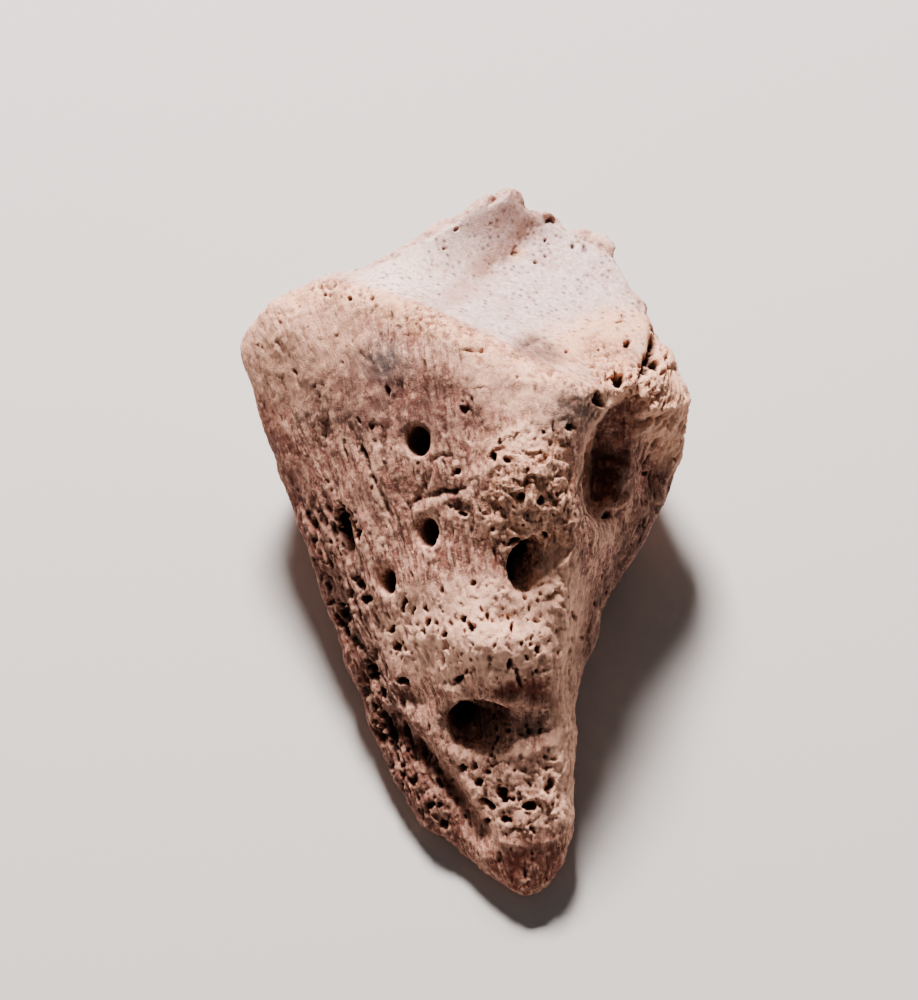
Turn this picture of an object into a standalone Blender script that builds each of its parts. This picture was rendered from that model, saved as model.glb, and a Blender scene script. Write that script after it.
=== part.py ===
"""Fossil rhinoceros hoof bone, the last bone of a side toe, lying on its sole.

Sizes are in millimetres and are turned into metres by MM. X runs across the bone, with the outer flank on -X.
Y runs from the toe end to the joint end, and Z up from the sole. The origin is under the middle of the
finished bone's box, and until the last step the shape keeps the frame that its corners are given in.
"""

import math
from collections import namedtuple

import bmesh
import bpy
import numpy as np
from mathutils import Matrix, Vector, noise
from mathutils.bvhtree import BVHTree

MM = 0.001

# Corners of the bone before anything is cut from it. The body is their softened convex hull.
SOLE_CORNERS = {
    "toe": (6.0, -36.0, 0.0),
    "inner_toe": (11.0, -31.0, 0.0),
    "inner_waist": (14.0, -8.0, 0.0),
    "inner_heel": (19.0, 9.0, 0.0),
    "heel": (13.0, 28.0, 0.0),
    "heel_outer": (2.0, 29.0, 0.0),
    "outer_heel": (-19.5, 17.5, 0.0),
    "outer_waist": (-13.0, -6.0, 0.0),
    "outer_toe": (-4.4, -27.2, 0.0),
}
GIRTH_CORNERS = {
    "toe_tip": (6.1, -39.4, 2.4),
    "inner_toe_tip": (8.8, -36.8, 3.0),
    "inner_toe_edge": (11.8, -30.2, 4.4),
    "inner_flank": (21.2, 4.0, 11.0),
    "inner_knob_low": (24.0, 12.0, 13.5),
    "inner_knob": (24.8, 16.5, 16.0),
    "inner_knob_back": (21.1, 19.8, 17.0),
    "outer_toe_edge": (-7.9, -24.8, 2.8),
    "outer_flank": (-17.4, -1.0, 10.5),
    "outer_shoulder_low": (-22.0, 17.5, 14.0),
    "outer_shoulder": (-25.4, 20.8, 20.0),
}
TOP_CORNERS = {
    "outer_shoulder_top": (-21.5, 21.4, 26.2),
    "toe_ridge": (10.0, -32.0, 7.0),
    "middle_ridge": (10.8, -17.0, 15.4),
    "inner_ridge": (12.6, -2.0, 26.4),
    "inner_crest": (12.4, 7.2, 35.0),
    "crest": (-1.0, 13.8, 35.4),
    "outer_crest": (-14.0, 20.6, 30.4),
    "dorsal_swell": (1.0, -4.0, 28.6),
    "dorsal_outer": (-9.0, 2.0, 25.8),
    "dorsal_low": (2.4, -19.0, 18.0),
    "joint_back": (5.0, 37.7, 26.0),
    "joint_back_middle": (10.2, 35.9, 22.4),
    "joint_back_inner": (15.4, 34.2, 22.5),
    "joint_inner": (17.0, 26.6, 23.0),
    "joint_inner_front": (19.5, 19.2, 24.6),
}

# The joint face is laid out from the outer end of its front edge, along that edge and back from it.
JOINT_CORNER = (-12.8, 21.4)
JOINT_ALONG = Vector((0.858, -0.513)).normalized()
JOINT_BACK = Vector((-JOINT_ALONG.y, JOINT_ALONG.x))
JOINT_DEPTH = 24.0
JOINT_FRONT_HEIGHT = 33.0
JOINT_OUTER_FALL = 4.0
JOINT_OUTER_SPAN = 14.0
JOINT_OUTER_RISE = 1.4
JOINT_SLOPE = 0.5
JOINT_DISH = 3.0
VALLEY_FOOT = 7.0
VALLEY_SKEW = 0.234
VALLEY_SOFTNESS = 0.8
LIP_STEEPNESS = 0.075
JOINT_CEILING = 60.0
# The block that shapes the joint face: its span in the plan along X and Y, and how many steps it has each way.
JOINT_SPAN_X = (-30.0, 34.0)
JOINT_SPAN_Y = (-6.0, 46.0)
JOINT_STEPS = 70

# Edge length of the even faces, and how many times they are relaxed, for the hull and for the cut bone.
BODY_VOXEL = 0.9
BODY_RELAX = 22
FINE_VOXEL = 0.6
FINE_RELAX = 2
TRIANGLES = 10500
# What is lower than this belongs to the flats that the bone lies on.
GROUND_FLAT = 0.35

# A soft push of the surface: its middle, its reach along X, Y and Z, and how far and which way it moves.
Push = namedtuple("Push", "at reach by")
PUSHES = {
    "inner waist": Push((14.5, -14.0, 6.0), (5.5, 9.0, 14.0), (-4.4, 0.0, 0.0)),
    "hollow's fading side": Push((18.5, 3.0, 18.0), (5.0, 5.0, 5.0), (-1.2, 0.4, -0.6)),
    "inner flank slope": Push((18.0, -4.0, 8.0), (5.0, 6.0, 10.0), (-2.9, 0.0, 0.0)),
    "back wall": Push((-9.0, 28.5, 25.0), (6.0, 5.0, 8.0), (0.6, -1.5, 0.0)),
    "inner toe side": Push((13.0, -25.0, 5.0), (4.0, 4.0, 8.0), (-0.9, 0.0, 0.0)),
    "knob": Push((22.0, 13.0, 20.0), (4.0, 5.0, 4.0), (1.0, -0.4, 1.0)),
    "crumbled mound": Push((6.5, -2.0, 29.0), (4.5, 6.0, 5.0), (0.1, -0.5, 0.7)),
    "dorsal hollow": Push((-3.5, -4.0, 25.5), (5.0, 6.0, 6.0), (0.5, 0.5, -1.0)),
    "shelf over the toe hollow": Push((3.0, -18.0, 18.5), (7.0, 3.0, 4.0), (0.0, -0.7, 0.9)),
    "step under the shelf": Push((4.0, -25.0, 12.5), (7.0, 4.0, 5.0), (0.0, 0.7, -1.0)),
    "outer flank hollow": Push((-19.0, 8.0, 5.0), (6.0, 11.0, 5.0), (1.8, -0.6, 0.0)),
    "heel hollow": Push((2.0, 31.0, 13.0), (10.0, 6.0, 5.0), (0.0, -2.2, 0.0)),
    "flexor ridge": Push((4.0, 29.0, 5.0), (9.0, 5.0, 2.6), (0.2, 1.6, 0.0)),
    "sole dish, heel": Push((2.0, 10.0, 0.0), (10.0, 9.0, 5.0), (0.0, 0.0, 2.2)),
    "sole dish, toe": Push((3.0, -13.0, 0.0), (6.0, 9.0, 5.0), (0.0, 0.0, 1.6)),
}

# A rounded hollow or canal: its mouth's middle, the way it goes in, its mouth's half width and half length,
# how deep it goes, and which way its length lies.
Pit = namedtuple("Pit", "at into half_width half_length depth along")
SLOPE_DOWN = (0.0, -0.8, -0.6)
PITS = {
    "upper canal": Pit((-5.0, 2.3, 28.1), (0.55, 0.5, -0.75), 1.45, 1.5, 6.0, SLOPE_DOWN),
    "middle canal": Pit((-4.5, -6.0, 23.4), (0.6, 0.55, -0.6), 1.25, 1.45, 5.0, SLOPE_DOWN),
    "lower canal": Pit((-8.4, -7.9, 17.4), (0.8, 0.35, -0.45), 1.2, 1.3, 4.5, SLOPE_DOWN),
    "outer slot": Pit((-12.6, -2.4, 16.7), (0.75, 0.45, -0.5), 1.1, 2.4, 2.6, (0.4, -0.6, -0.7)),
    "great canal": Pit((6.3, -9.6, 23.8), (-0.35, 0.6, -0.75), 1.8, 2.9, 6.5, (-0.25, -0.8, -0.6)),
    "toe hollow": Pit((1.5, -23.4, 13.2), (0.1, 0.75, -0.65), 3.2, 4.3, 5.4, (1.0, 0.1, -0.1)),
    "toe hollow's tail": Pit((6.2, -23.2, 13.6), (-0.2, 0.7, -0.7), 2.3, 3.6, 1.8, (1.0, -0.1, 0.0)),
    "flank hollow": Pit((16.0, 3.6, 23.0), (-0.86, 0.31, -0.4), 5.4, 6.5, 4.6, (0.05, 0.82, 0.56)),
    "toe pit, outer": Pit((4.0, -28.8, 9.9), (0.2, 0.6, -0.75), 0.7, 1.3, 2.2, (1.0, -0.3, 0.0)),
    "toe pit, inner": Pit((6.9, -29.8, 9.1), (0.0, 0.6, -0.8), 0.75, 1.0, 2.4, (1.0, 0.0, 0.0)),
    "toe pit, low": Pit((2.2, -29.3, 8.6), (0.4, 0.6, -0.6), 0.6, 1.1, 1.8, (1.0, -0.4, 0.0)),
    "crest crevice": Pit((15.2, 9.6, 28.6), (-0.3, 0.2, -0.9), 0.9, 1.6, 2.2, (0.6, 0.7, -0.3)),
    "crest crevice, back": Pit((19.2, 14.4, 24.6), (-0.5, 0.1, -0.85), 0.9, 2.2, 2.0, (0.5, 0.8, -0.3)),
    "heel canal, outer": Pit((-7.0, 27.0, 11.0), (0.45, -0.85, -0.1), 1.6, 2.0, 6.0, (1.0, 0.5, 0.0)),
    "heel canal, inner": Pit((12.0, 31.0, 10.0), (-0.3, -0.95, 0.0), 1.8, 2.3, 6.0, (1.0, -0.3, 0.0)),
    "sole canal, outer": Pit((-5.0, 3.0, 2.0), (0.2, 0.5, 0.85), 1.5, 2.2, 5.0, (0.2, 1.0, 0.0)),
    "sole canal, inner": Pit((9.0, 4.0, 2.0), (-0.2, 0.5, 0.85), 1.7, 2.4, 5.0, (-0.2, 1.0, 0.0)),
    "outer flank canal": Pit((-19.5, 6.0, 8.0), (0.9, -0.3, 0.1), 1.3, 1.9, 4.0, (0.3, 1.0, 0.2)),
}

# A groove pressed in along a run of points: its points, half width and depth.
Groove = namedtuple("Groove", "points half_width depth")
GROOVES = {
    "outer toe groove": Groove(
        ((-7.0, -19.6, 7.6), (-3.9, -23.2, 7.0), (-1.4, -26.6, 6.6), (1.6, -31.0, 5.6)), 1.0, 1.9
    ),
    "outer edge groove": Groove(((-14.2, -5.0, 11.0), (-12.4, -10.2, 8.6)), 0.9, 1.0),
}

# Pieces broken from the joint face's rim: the middle and radius of each bite, in millimetres.
BITES = (
    ((-6.4, 27.2, 29.0), 1.3),
    ((-1.6, 30.8, 28.0), 1.2),
    ((1.6, 33.6, 27.4), 1.0),
    ((8.4, 37.0, 23.8), 1.6),
    ((12.4, 35.8, 21.8), 1.0),
    ((17.8, 29.4, 21.8), 1.2),
    ((19.4, 24.2, 21.8), 1.2),
    ((21.4, 20.6, 20.8), 1.5),
)

# A pit's cutter: its sides and rings, how far it flares and stands out of the mouth, as shares of the pit's
# radius and depth, and how far either way along its line the surface is looked for.
PIT_SIDES = 14
PIT_RINGS = 10
PIT_FLARE = 1.06
PIT_STAND = 0.35
PIT_SEARCH = 12.0

# Weathering lumps: their height and size, and the height of the smooth band along the joint face.
ROUGHNESS_DEPTH = 0.28
ROUGHNESS_SIZE = 3.2
JOINT_BAND = 0.9

BONE_COLOUR = (0.47, 0.33, 0.25, 1.0)
BONE_ROUGHNESS = 0.8


def remove_everything():
    for obj in list(bpy.data.objects):
        bpy.data.objects.remove(obj, do_unlink=True)


def add_object(name, bm):
    mesh = bpy.data.meshes.new(name)
    bm.to_mesh(mesh)
    bm.free()
    obj = bpy.data.objects.new(name, mesh)
    bpy.context.scene.collection.objects.link(obj)
    return obj


def apply_modifiers(obj):
    """Turns the object's evaluated shape into its own mesh and clears its modifiers."""
    bpy.context.view_layer.update()
    depsgraph = bpy.context.evaluated_depsgraph_get()
    mesh = bpy.data.meshes.new_from_object(obj.evaluated_get(depsgraph))
    old = obj.data
    obj.modifiers.clear()
    obj.data = mesh
    bpy.data.meshes.remove(old)


def read_points(obj):
    flat = np.empty(len(obj.data.vertices) * 3)
    obj.data.vertices.foreach_get("co", flat)
    return flat.reshape(-1, 3) / MM


def write_points(obj, points):
    obj.data.vertices.foreach_set("co", (points * MM).ravel())
    obj.data.update()


def read_normals(obj):
    flat = np.empty(len(obj.data.vertices) * 3)
    obj.data.vertices.foreach_get("normal", flat)
    return flat.reshape(-1, 3)


def remesh(obj, voxel):
    modifier = obj.modifiers.new("even faces", "REMESH")
    modifier.mode = "VOXEL"
    modifier.voxel_size = voxel * MM
    apply_modifiers(obj)


def relax(obj, repeats):
    modifier = obj.modifiers.new("relax", "SMOOTH")
    modifier.factor = 0.5
    modifier.iterations = repeats
    apply_modifiers(obj)


def convex_body():
    """The whole bone as the hull of its corners, evenly meshed and softened."""
    bm = bmesh.new()
    for corners in (SOLE_CORNERS, GIRTH_CORNERS, TOP_CORNERS):
        for place in corners.values():
            bm.verts.new(Vector(place) * MM)
    bmesh.ops.convex_hull(bm, input=bm.verts)
    bmesh.ops.recalc_face_normals(bm, faces=bm.faces)
    body = add_object("hoof_bone", bm)
    remesh(body, BODY_VOXEL)
    relax(body, BODY_RELAX)
    return body


def joint_place(x, y):
    """Distance along the joint face's front edge and back from it."""
    dx = x - JOINT_CORNER[0]
    dy = y - JOINT_CORNER[1]
    return dx * JOINT_ALONG.x + dy * JOINT_ALONG.y, dx * JOINT_BACK.x + dy * JOINT_BACK.y


def joint_height(x, y):
    """Height of the joint face over a point of the plan."""
    along, back = joint_place(x, y)
    fall = min(max(1.0 - along / JOINT_OUTER_SPAN, 0.0), 1.0)
    front = JOINT_FRONT_HEIGHT - JOINT_OUTER_FALL * fall**2 + JOINT_OUTER_RISE * max(-along, 0.0)
    share = min(max(back / JOINT_DEPTH, 0.0), 1.0)
    dish = JOINT_DISH * 4.0 * share * (1.0 - share)
    outside = (VALLEY_FOOT + VALLEY_SKEW * back - along) / VALLEY_SOFTNESS
    lip = LIP_STEEPNESS * max(back, 0.0) * VALLEY_SOFTNESS * math.log1p(math.exp(outside))
    return min(front - JOINT_SLOPE * back - dish + lip, JOINT_CEILING - 2.0)


def joint_cutter():
    """A block whose underside is the joint face."""
    low_x, high_x = JOINT_SPAN_X
    low_y, high_y = JOINT_SPAN_Y
    bm = bmesh.new()
    bmesh.ops.create_grid(bm, x_segments=JOINT_STEPS, y_segments=JOINT_STEPS, size=0.5)
    for vert in bm.verts:
        x = low_x + (high_x - low_x) * (vert.co.x + 0.5)
        y = low_y + (high_y - low_y) * (vert.co.y + 0.5)
        vert.co = Vector((x, y, joint_height(x, y))) * MM
    lid = bmesh.ops.extrude_face_region(bm, geom=bm.faces[:])["geom"]
    for part in lid:
        if isinstance(part, bmesh.types.BMVert):
            part.co.z = JOINT_CEILING * MM
    bmesh.ops.recalc_face_normals(bm, faces=bm.faces)
    return add_object("joint_cutter", bm)


def turned_frame(into, along):
    """A rotation that takes Z to the way out of a pit and X along its length."""
    out = -Vector(into).normalized()
    side = out.cross(Vector(along)).normalized()
    length = side.cross(out)
    return Matrix((length, side, out)).transposed().to_4x4()


def mouth_of(pit, surface):
    """Where the pit's own line meets the bone's surface."""
    into = Vector(pit.into).normalized()
    start = Vector(pit.at) - into * PIT_SEARCH
    hit = surface.ray_cast(start * MM, into, 2.0 * PIT_SEARCH * MM)[0]
    return hit if hit else Vector(pit.at) * MM


def pit_cutter(pit, surface):
    """A bowl that narrows to a rounded end, and stands a little out of the mouth."""
    bm = bmesh.new()
    bmesh.ops.create_uvsphere(bm, u_segments=PIT_SIDES, v_segments=PIT_RINGS, radius=1.0)
    for vert in bm.verts:
        outside = vert.co.z > 0.0
        flare = PIT_FLARE if outside else 1.0
        reach = PIT_STAND * pit.depth if outside else pit.depth
        x, y, z = vert.co
        vert.co = Vector((x * flare * pit.half_length, y * flare * pit.half_width, z * reach)) * MM
    place = Matrix.Translation(mouth_of(pit, surface)) @ turned_frame(pit.into, pit.along)
    bmesh.ops.transform(bm, matrix=place, verts=bm.verts)
    return add_object("pit_cutter", bm)


def bite_cutter(at, radius):
    bm = bmesh.new()
    bmesh.ops.create_icosphere(bm, subdivisions=2, radius=radius * MM)
    bmesh.ops.translate(bm, vec=Vector(at) * MM, verts=bm.verts)
    return add_object("bite_cutter", bm)


def cut(body, cutter):
    modifier = body.modifiers.new("cut", "BOOLEAN")
    modifier.operation = "DIFFERENCE"
    modifier.object = cutter
    apply_modifiers(body)
    bpy.data.objects.remove(cutter, do_unlink=True)


def push_surface(body):
    """Swells and hollows of the body, each fading out smoothly from its middle."""
    points = read_points(body)
    moved = points.copy()
    for push in PUSHES.values():
        away = (points - push.at) / push.reach
        moved += np.exp(-(away**2).sum(1))[:, None] * np.array(push.by)
    write_points(body, moved)


def distance_to_run(points, run):
    """Each point's distance to a run of straight lengths."""
    nearest = np.full(len(points), np.inf)
    for start, end in zip(run[:-1], run[1:]):
        start = np.array(start)
        way = np.array(end) - start
        share = np.clip(((points - start) @ way) / (way @ way), 0.0, 1.0)
        nearest = np.minimum(nearest, np.linalg.norm(points - start - share[:, None] * way, axis=1))
    return nearest


def press_grooves(body):
    points = read_points(body)
    normals = read_normals(body)
    for groove in GROOVES.values():
        away = distance_to_run(points, groove.points) / groove.half_width
        points -= normals * (groove.depth * np.exp(-(away**2)))[:, None]
    write_points(body, points)


def roughen(body):
    """Lumps of weathered bone, left off the joint face."""
    points = read_points(body)
    normals = read_normals(body)
    for i, (point, normal) in enumerate(zip(points, normals)):
        lump = noise.fractal(Vector(point) / ROUGHNESS_SIZE, 0.8, 2.0, 2)
        off_joint = joint_height(point[0], point[1]) - point[2] > JOINT_BAND
        if off_joint:
            points[i] = point + normal * lump * ROUGHNESS_DEPTH
    write_points(body, points)


def level_sole(body):
    """Brings the lowest parts of the sole to one flat level."""
    points = read_points(body)
    points[:, 2] = np.where(points[:, 2] < GROUND_FLAT, 0.0, points[:, 2])
    write_points(body, points)


def lighten(body):
    """Fewer faces, kept where the shape needs them."""
    triangulate = body.modifiers.new("triangles", "TRIANGULATE")
    triangulate.quad_method = "SHORTEST_DIAGONAL"
    apply_modifiers(body)
    decimate = body.modifiers.new("fewer faces", "DECIMATE")
    decimate.ratio = TRIANGLES / len(body.data.polygons)
    apply_modifiers(body)


def centre(body):
    """Moves the mesh so that the origin is under the middle of its box."""
    points = read_points(body)
    low, high = points.min(0), points.max(0)
    write_points(body, points - [(low[0] + high[0]) / 2, (low[1] + high[1]) / 2, low[2]])


def bone_material():
    material = bpy.data.materials.new("fossil bone")
    material.use_nodes = True
    shader = material.node_tree.nodes["Principled BSDF"]
    shader.inputs["Base Color"].default_value = BONE_COLOUR
    shader.inputs["Roughness"].default_value = BONE_ROUGHNESS
    shader.inputs["Metallic"].default_value = 0.0
    return material


def main():
    remove_everything()
    body = convex_body()
    push_surface(body)
    cut(body, joint_cutter())
    for at, radius in BITES:
        cut(body, bite_cutter(at, radius))
    surface = BVHTree.FromObject(body, bpy.context.evaluated_depsgraph_get())
    for pit in PITS.values():
        cut(body, pit_cutter(pit, surface))
    remesh(body, FINE_VOXEL)
    relax(body, FINE_RELAX)
    press_grooves(body)
    roughen(body)
    level_sole(body)
    lighten(body)
    level_sole(body)
    centre(body)
    body.data.materials.append(bone_material())
    body.data.shade_smooth()


main()
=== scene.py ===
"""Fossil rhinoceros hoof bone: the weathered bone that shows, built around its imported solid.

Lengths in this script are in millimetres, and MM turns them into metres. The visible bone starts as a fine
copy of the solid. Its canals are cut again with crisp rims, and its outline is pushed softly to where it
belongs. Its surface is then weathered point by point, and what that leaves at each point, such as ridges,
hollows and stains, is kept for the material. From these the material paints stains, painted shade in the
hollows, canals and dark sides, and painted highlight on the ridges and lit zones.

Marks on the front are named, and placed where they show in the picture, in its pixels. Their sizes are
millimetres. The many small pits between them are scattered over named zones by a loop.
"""

import math
import random
from collections import namedtuple

import bpy
import numpy as np
from bpy.props import FloatProperty, FloatVectorProperty, IntProperty, PointerProperty
from mathutils import Matrix, Vector, noise
from mathutils.bvhtree import BVHTree


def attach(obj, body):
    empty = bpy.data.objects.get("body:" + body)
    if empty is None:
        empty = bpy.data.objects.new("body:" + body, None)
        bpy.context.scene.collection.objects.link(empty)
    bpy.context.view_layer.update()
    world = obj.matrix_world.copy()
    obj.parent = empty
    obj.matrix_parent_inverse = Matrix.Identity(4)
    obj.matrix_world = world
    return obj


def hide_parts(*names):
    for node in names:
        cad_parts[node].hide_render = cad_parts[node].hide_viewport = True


bl_info = {
    "name": "Fossil hoof bone",
    "version": (1, 0, 0),
    "blender": (4, 5, 0),
    "location": "View3D > Sidebar > Hoof bone",
    "description": "Weathers the solid of a fossil rhinoceros hoof bone and sets up its studio",
    "category": "Object",
}

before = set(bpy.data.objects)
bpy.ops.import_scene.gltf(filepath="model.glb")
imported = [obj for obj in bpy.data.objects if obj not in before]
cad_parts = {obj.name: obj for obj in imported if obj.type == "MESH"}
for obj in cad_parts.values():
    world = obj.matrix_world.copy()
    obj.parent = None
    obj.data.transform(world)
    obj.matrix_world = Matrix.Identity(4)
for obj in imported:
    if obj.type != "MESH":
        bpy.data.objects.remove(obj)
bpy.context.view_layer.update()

MM = 0.001
NODE = "hoof_bone"
BONE = "weathered_bone"

# The view: its target, its distance from it, and the three directions of the picture.
VIEW_TARGET = np.array((-0.74, 3.75, 15.0))
VIEW_DISTANCE = 350.0
VIEW_RISE = math.radians(60.0)
VIEW_BACK = np.array((0.0, -math.cos(VIEW_RISE), math.sin(VIEW_RISE)))
VIEW_UP = np.array((0.0, math.sin(VIEW_RISE), math.cos(VIEW_RISE)))
VIEW_RIGHT = np.array((1.0, 0.0, 0.0))
VIEW_EYE = VIEW_TARGET + VIEW_BACK * VIEW_DISTANCE
LENS = 118.44
SENSOR = 36.0
PICTURE_WIDTH = 918
PICTURE_HEIGHT = 1000
PIXELS_PER_MM = PICTURE_HEIGHT * LENS / (SENSOR * VIEW_DISTANCE)
NEAREST_SEEN = 10.0

# The floor's width, how far under the bone it lies so that their faces don't meet, and how dull it is.
FLOOR_WIDTH = 3000.0
FLOOR_DROP = 0.2
FLOOR_ROUGHNESS = 0.9
LAMP_COLOUR = (1.0, 0.91, 0.87)

# The bone's fibres fan out from a point in front of the toe, which is at FIBRE_PIXEL in the picture.
# FIBRE_REACH is the distance from it at which a width across the fibres is true.
FIBRE_SOURCE = np.array((11.4, -66.0, -18.0))
FIBRE_REACH = 70.0
FIBRE_PIXEL = (575, 1236)

# The joint face, as in the solid: the outer end of its front edge, the way along that edge and back from it,
# its height there, its slope and how far below that slope it may dip.
JOINT_CORNER = np.array((-12.8, 21.85))
JOINT_BACK = np.array((0.513, 0.858))
JOINT_HEIGHT = 33.0
JOINT_SLOPE = 0.5
JOINT_DIP = 8.5

# A patch of the surface: its middle in the picture, its half width and half height, its turn in degrees, and
# how softly its edge fades, as a share of its size.
Patch = namedtuple("Patch", "pixel half turn soft")
PATCHES = {
    "front": Patch((440, 540), (16.0, 24.0), 0.0, 0.3),
    "mound": Patch((529, 492), (5.2, 7.6), 8.0, 0.35),
    "corner": Patch((626, 374), (4.6, 2.7), -22.0, 0.4),
    "corner crest": Patch((606, 398), (2.4, 1.8), 0.0, 0.4),
    "knob": Patch((668, 402), (3.2, 6.2), 10.0, 0.3),
    "pit band": Patch((485, 628), (10.5, 5.2), 8.0, 0.35),
    "toe": Patch((512, 788), (6.0, 5.6), 0.0, 0.35),
    "tip": Patch((529, 871), (4.6, 3.8), 0.0, 0.6),
    "toe block": Patch((426, 790), (3.0, 7.0), 38.0, 0.35),
    "shoulder": Patch((300, 345), (6.4, 6.0), -15.0, 0.5),
    "shelf": Patch((506, 675), (7.0, 2.0), 0.0, 0.4),
    "grey patch": Patch((385, 362), (2.6, 2.2), 0.0, 0.7),
    "blue patch": Patch((570, 408), (3.2, 2.2), 20.0, 0.7),
    "dark cheek": Patch((385, 400), (11.0, 4.2), -10.0, 0.6),
    "cream cheek": Patch((505, 385), (6.5, 2.6), -28.0, 0.7),
    "plain middle": Patch((400, 480), (8.5, 7.0), 0.0, 0.7),
    "edge pits": Patch((340, 290), (4.2, 0.9), -12.0, 0.4),
    "flank hollow": Patch((612, 458), (3.4, 6.4), -10.0, 0.25),
    "hollow floor": Patch((608, 470), (2.3, 3.2), -10.0, 0.5),
    "toe hollow": Patch((466, 720), (2.2, 2.3), 0.0, 0.4),
    "tail of the toe hollow": Patch((512, 728), (3.6, 1.8), 0.0, 0.5),
    "red hollows": Patch((518, 692), (3.4, 1.5), 0.0, 0.5),
    "tan rise": Patch((602, 340), (7.6, 3.0), 14.0, 0.6),
    "joint valley": Patch((492, 262), (8.4, 1.2), 42.0, 0.8),
    "joint face": Patch((525, 290), (12.0, 7.0), -10.0, 0.4),
    "joint peak": Patch((508, 212), (4.6, 2.8), 0.0, 0.7),
    "oval on the joint face": Patch((540, 350), (2.4, 1.3), -20.0, 0.6),
    "joint back": Patch((532, 232), (9.5, 5.2), -15.0, 0.2),
    "left wing": Patch((400, 272), (6.0, 2.6), 25.0, 0.8),
    "rust spot": Patch((517, 253), (0.9, 0.6), 20.0, 0.7),
    "inner flank": Patch((622, 585), (2.6, 13.0), -24.0, 0.5),
    "inner foot": Patch((640, 590), (1.6, 12.0), -28.0, 0.6),
    "crumbled side": Patch((552, 560), (1.9, 5.0), 0.0, 0.5),
    "bright top of the mound": Patch((520, 440), (2.6, 1.6), 0.0, 0.7),
}

# A band along a run of places in the picture, with its half width and how softly its edge fades.
Band = namedtuple("Band", "run half soft")
BANDS = {
    "joint edge": Band(((271, 306), (344, 292), (453, 334), (566, 386), (600, 396)), 1.4, 0.6),
    "left margin": Band(((314, 528), (350, 637), (386, 729), (418, 790)), 3.4, 0.5),
    "outer edge": Band(((262, 420), (290, 490), (340, 640), (395, 775), (450, 850)), 2.0, 0.8),
    "inner crest": Band(((558, 560), (570, 650), (570, 740), (565, 810)), 1.5, 0.7),
    "worn rim of the flank hollow": Band(
        ((628, 392), (606, 405), (593, 424), (587, 448), (585, 478), (589, 510)), 0.4, 0.6
    ),
    "joint rim": Band(
        ((330, 281), (400, 246), (460, 212), (508, 188), (560, 220), (620, 252), (658, 330)), 0.7, 0.5
    ),
}

# How far each zone is weathered in a given way or has a given colour, where 0 is not at all.
SHARES = {
    "off the joint face": {"corner": 1.0, "corner crest": 1.0, "knob": 1.0},
    "rubbly": {
        "mound": 0.3, "corner": 0.4, "crumbled side": 0.25, "pit band": 0.15, "toe": 0.25,
        "tail of the toe hollow": 0.4, "toe block": 0.2, "joint edge": 0.1, "shoulder": 0.1,
    },
    "broken": {
        "corner": 0.8, "knob": 0.15, "mound": 0.55, "crumbled side": 0.5, "toe block": 0.3, "toe": 0.4,
        "joint edge": 0.3, "pit band": 0.15,
    },
    "spongy": {"toe": 0.4, "pit band": 0.2, "shelf": 0.25},
    "fibrous": {"left margin": 1.5, "inner flank": 1.0, "inner crest": 1.0, "tip": 0.8},
    "layered": {"flank hollow": 1.0, "knob": 1.0},
    "tan": {
        "corner": 1.0, "knob": 1.0, "tan rise": 0.85, "joint edge": 0.8, "shoulder": 0.35, "mound": 0.5,
        "crumbled side": 0.6, "rust spot": 1.0,
    },
    # Pale: the bone's own pale tone, and painted highlight on the lit band, mound top, crest, rim, shoulder
    # and knob.
    "pale": {
        "pit band": 1.0, "bright top of the mound": 1.0, "inner crest": 1.0,
        "worn rim of the flank hollow": 1.0, "toe": 0.4, "knob": 0.6, "shoulder": 0.5, "cream cheek": 0.7,
        "left wing": 1.0,
    },
    "grey": {"grey patch": 1.0, "blue patch": 0.8, "tail of the toe hollow": 0.35},
    # Rust: a stain, and on the tip, outer edge, toe block and inner foot a painted red reflection.
    "rust": {"tip": 1.0, "outer edge": 0.9, "red hollows": 1.0, "toe block": 0.6, "inner foot": 1.0},
    # Dark: painted shade in the hollows and on flanks, margins and tip turned from the light; a stain on the
    # oval.
    "dark": {
        "hollow floor": 1.0, "flank hollow": 0.35, "toe hollow": 0.8, "tail of the toe hollow": 0.3,
        "oval on the joint face": 0.6, "red hollows": 0.35, "tip": 0.2, "inner flank": 0.8,
        "left margin": 0.6, "outer edge": 0.4, "toe block": 0.6,
    },
    # The dark cheek is a painted shadow under the joint edge; the plain middle is a darker tone.
    "dark off the joint face": {"dark cheek": 0.85, "plain middle": 0.15},
    # Stain on the oval; painted shade in the joint valley and on the slope beside the peak.
    "stain": {"joint valley": 0.85, "joint peak": 0.45, "oval on the joint face": 1.0},
}
# Those of them that are kept for the material: stains, and zones of painted shade, painted highlight and
# painted red reflection.
STAINS_AND_PAINTED_LIGHT = ("tan", "pale", "grey", "rust", "dark", "stain")

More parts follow.
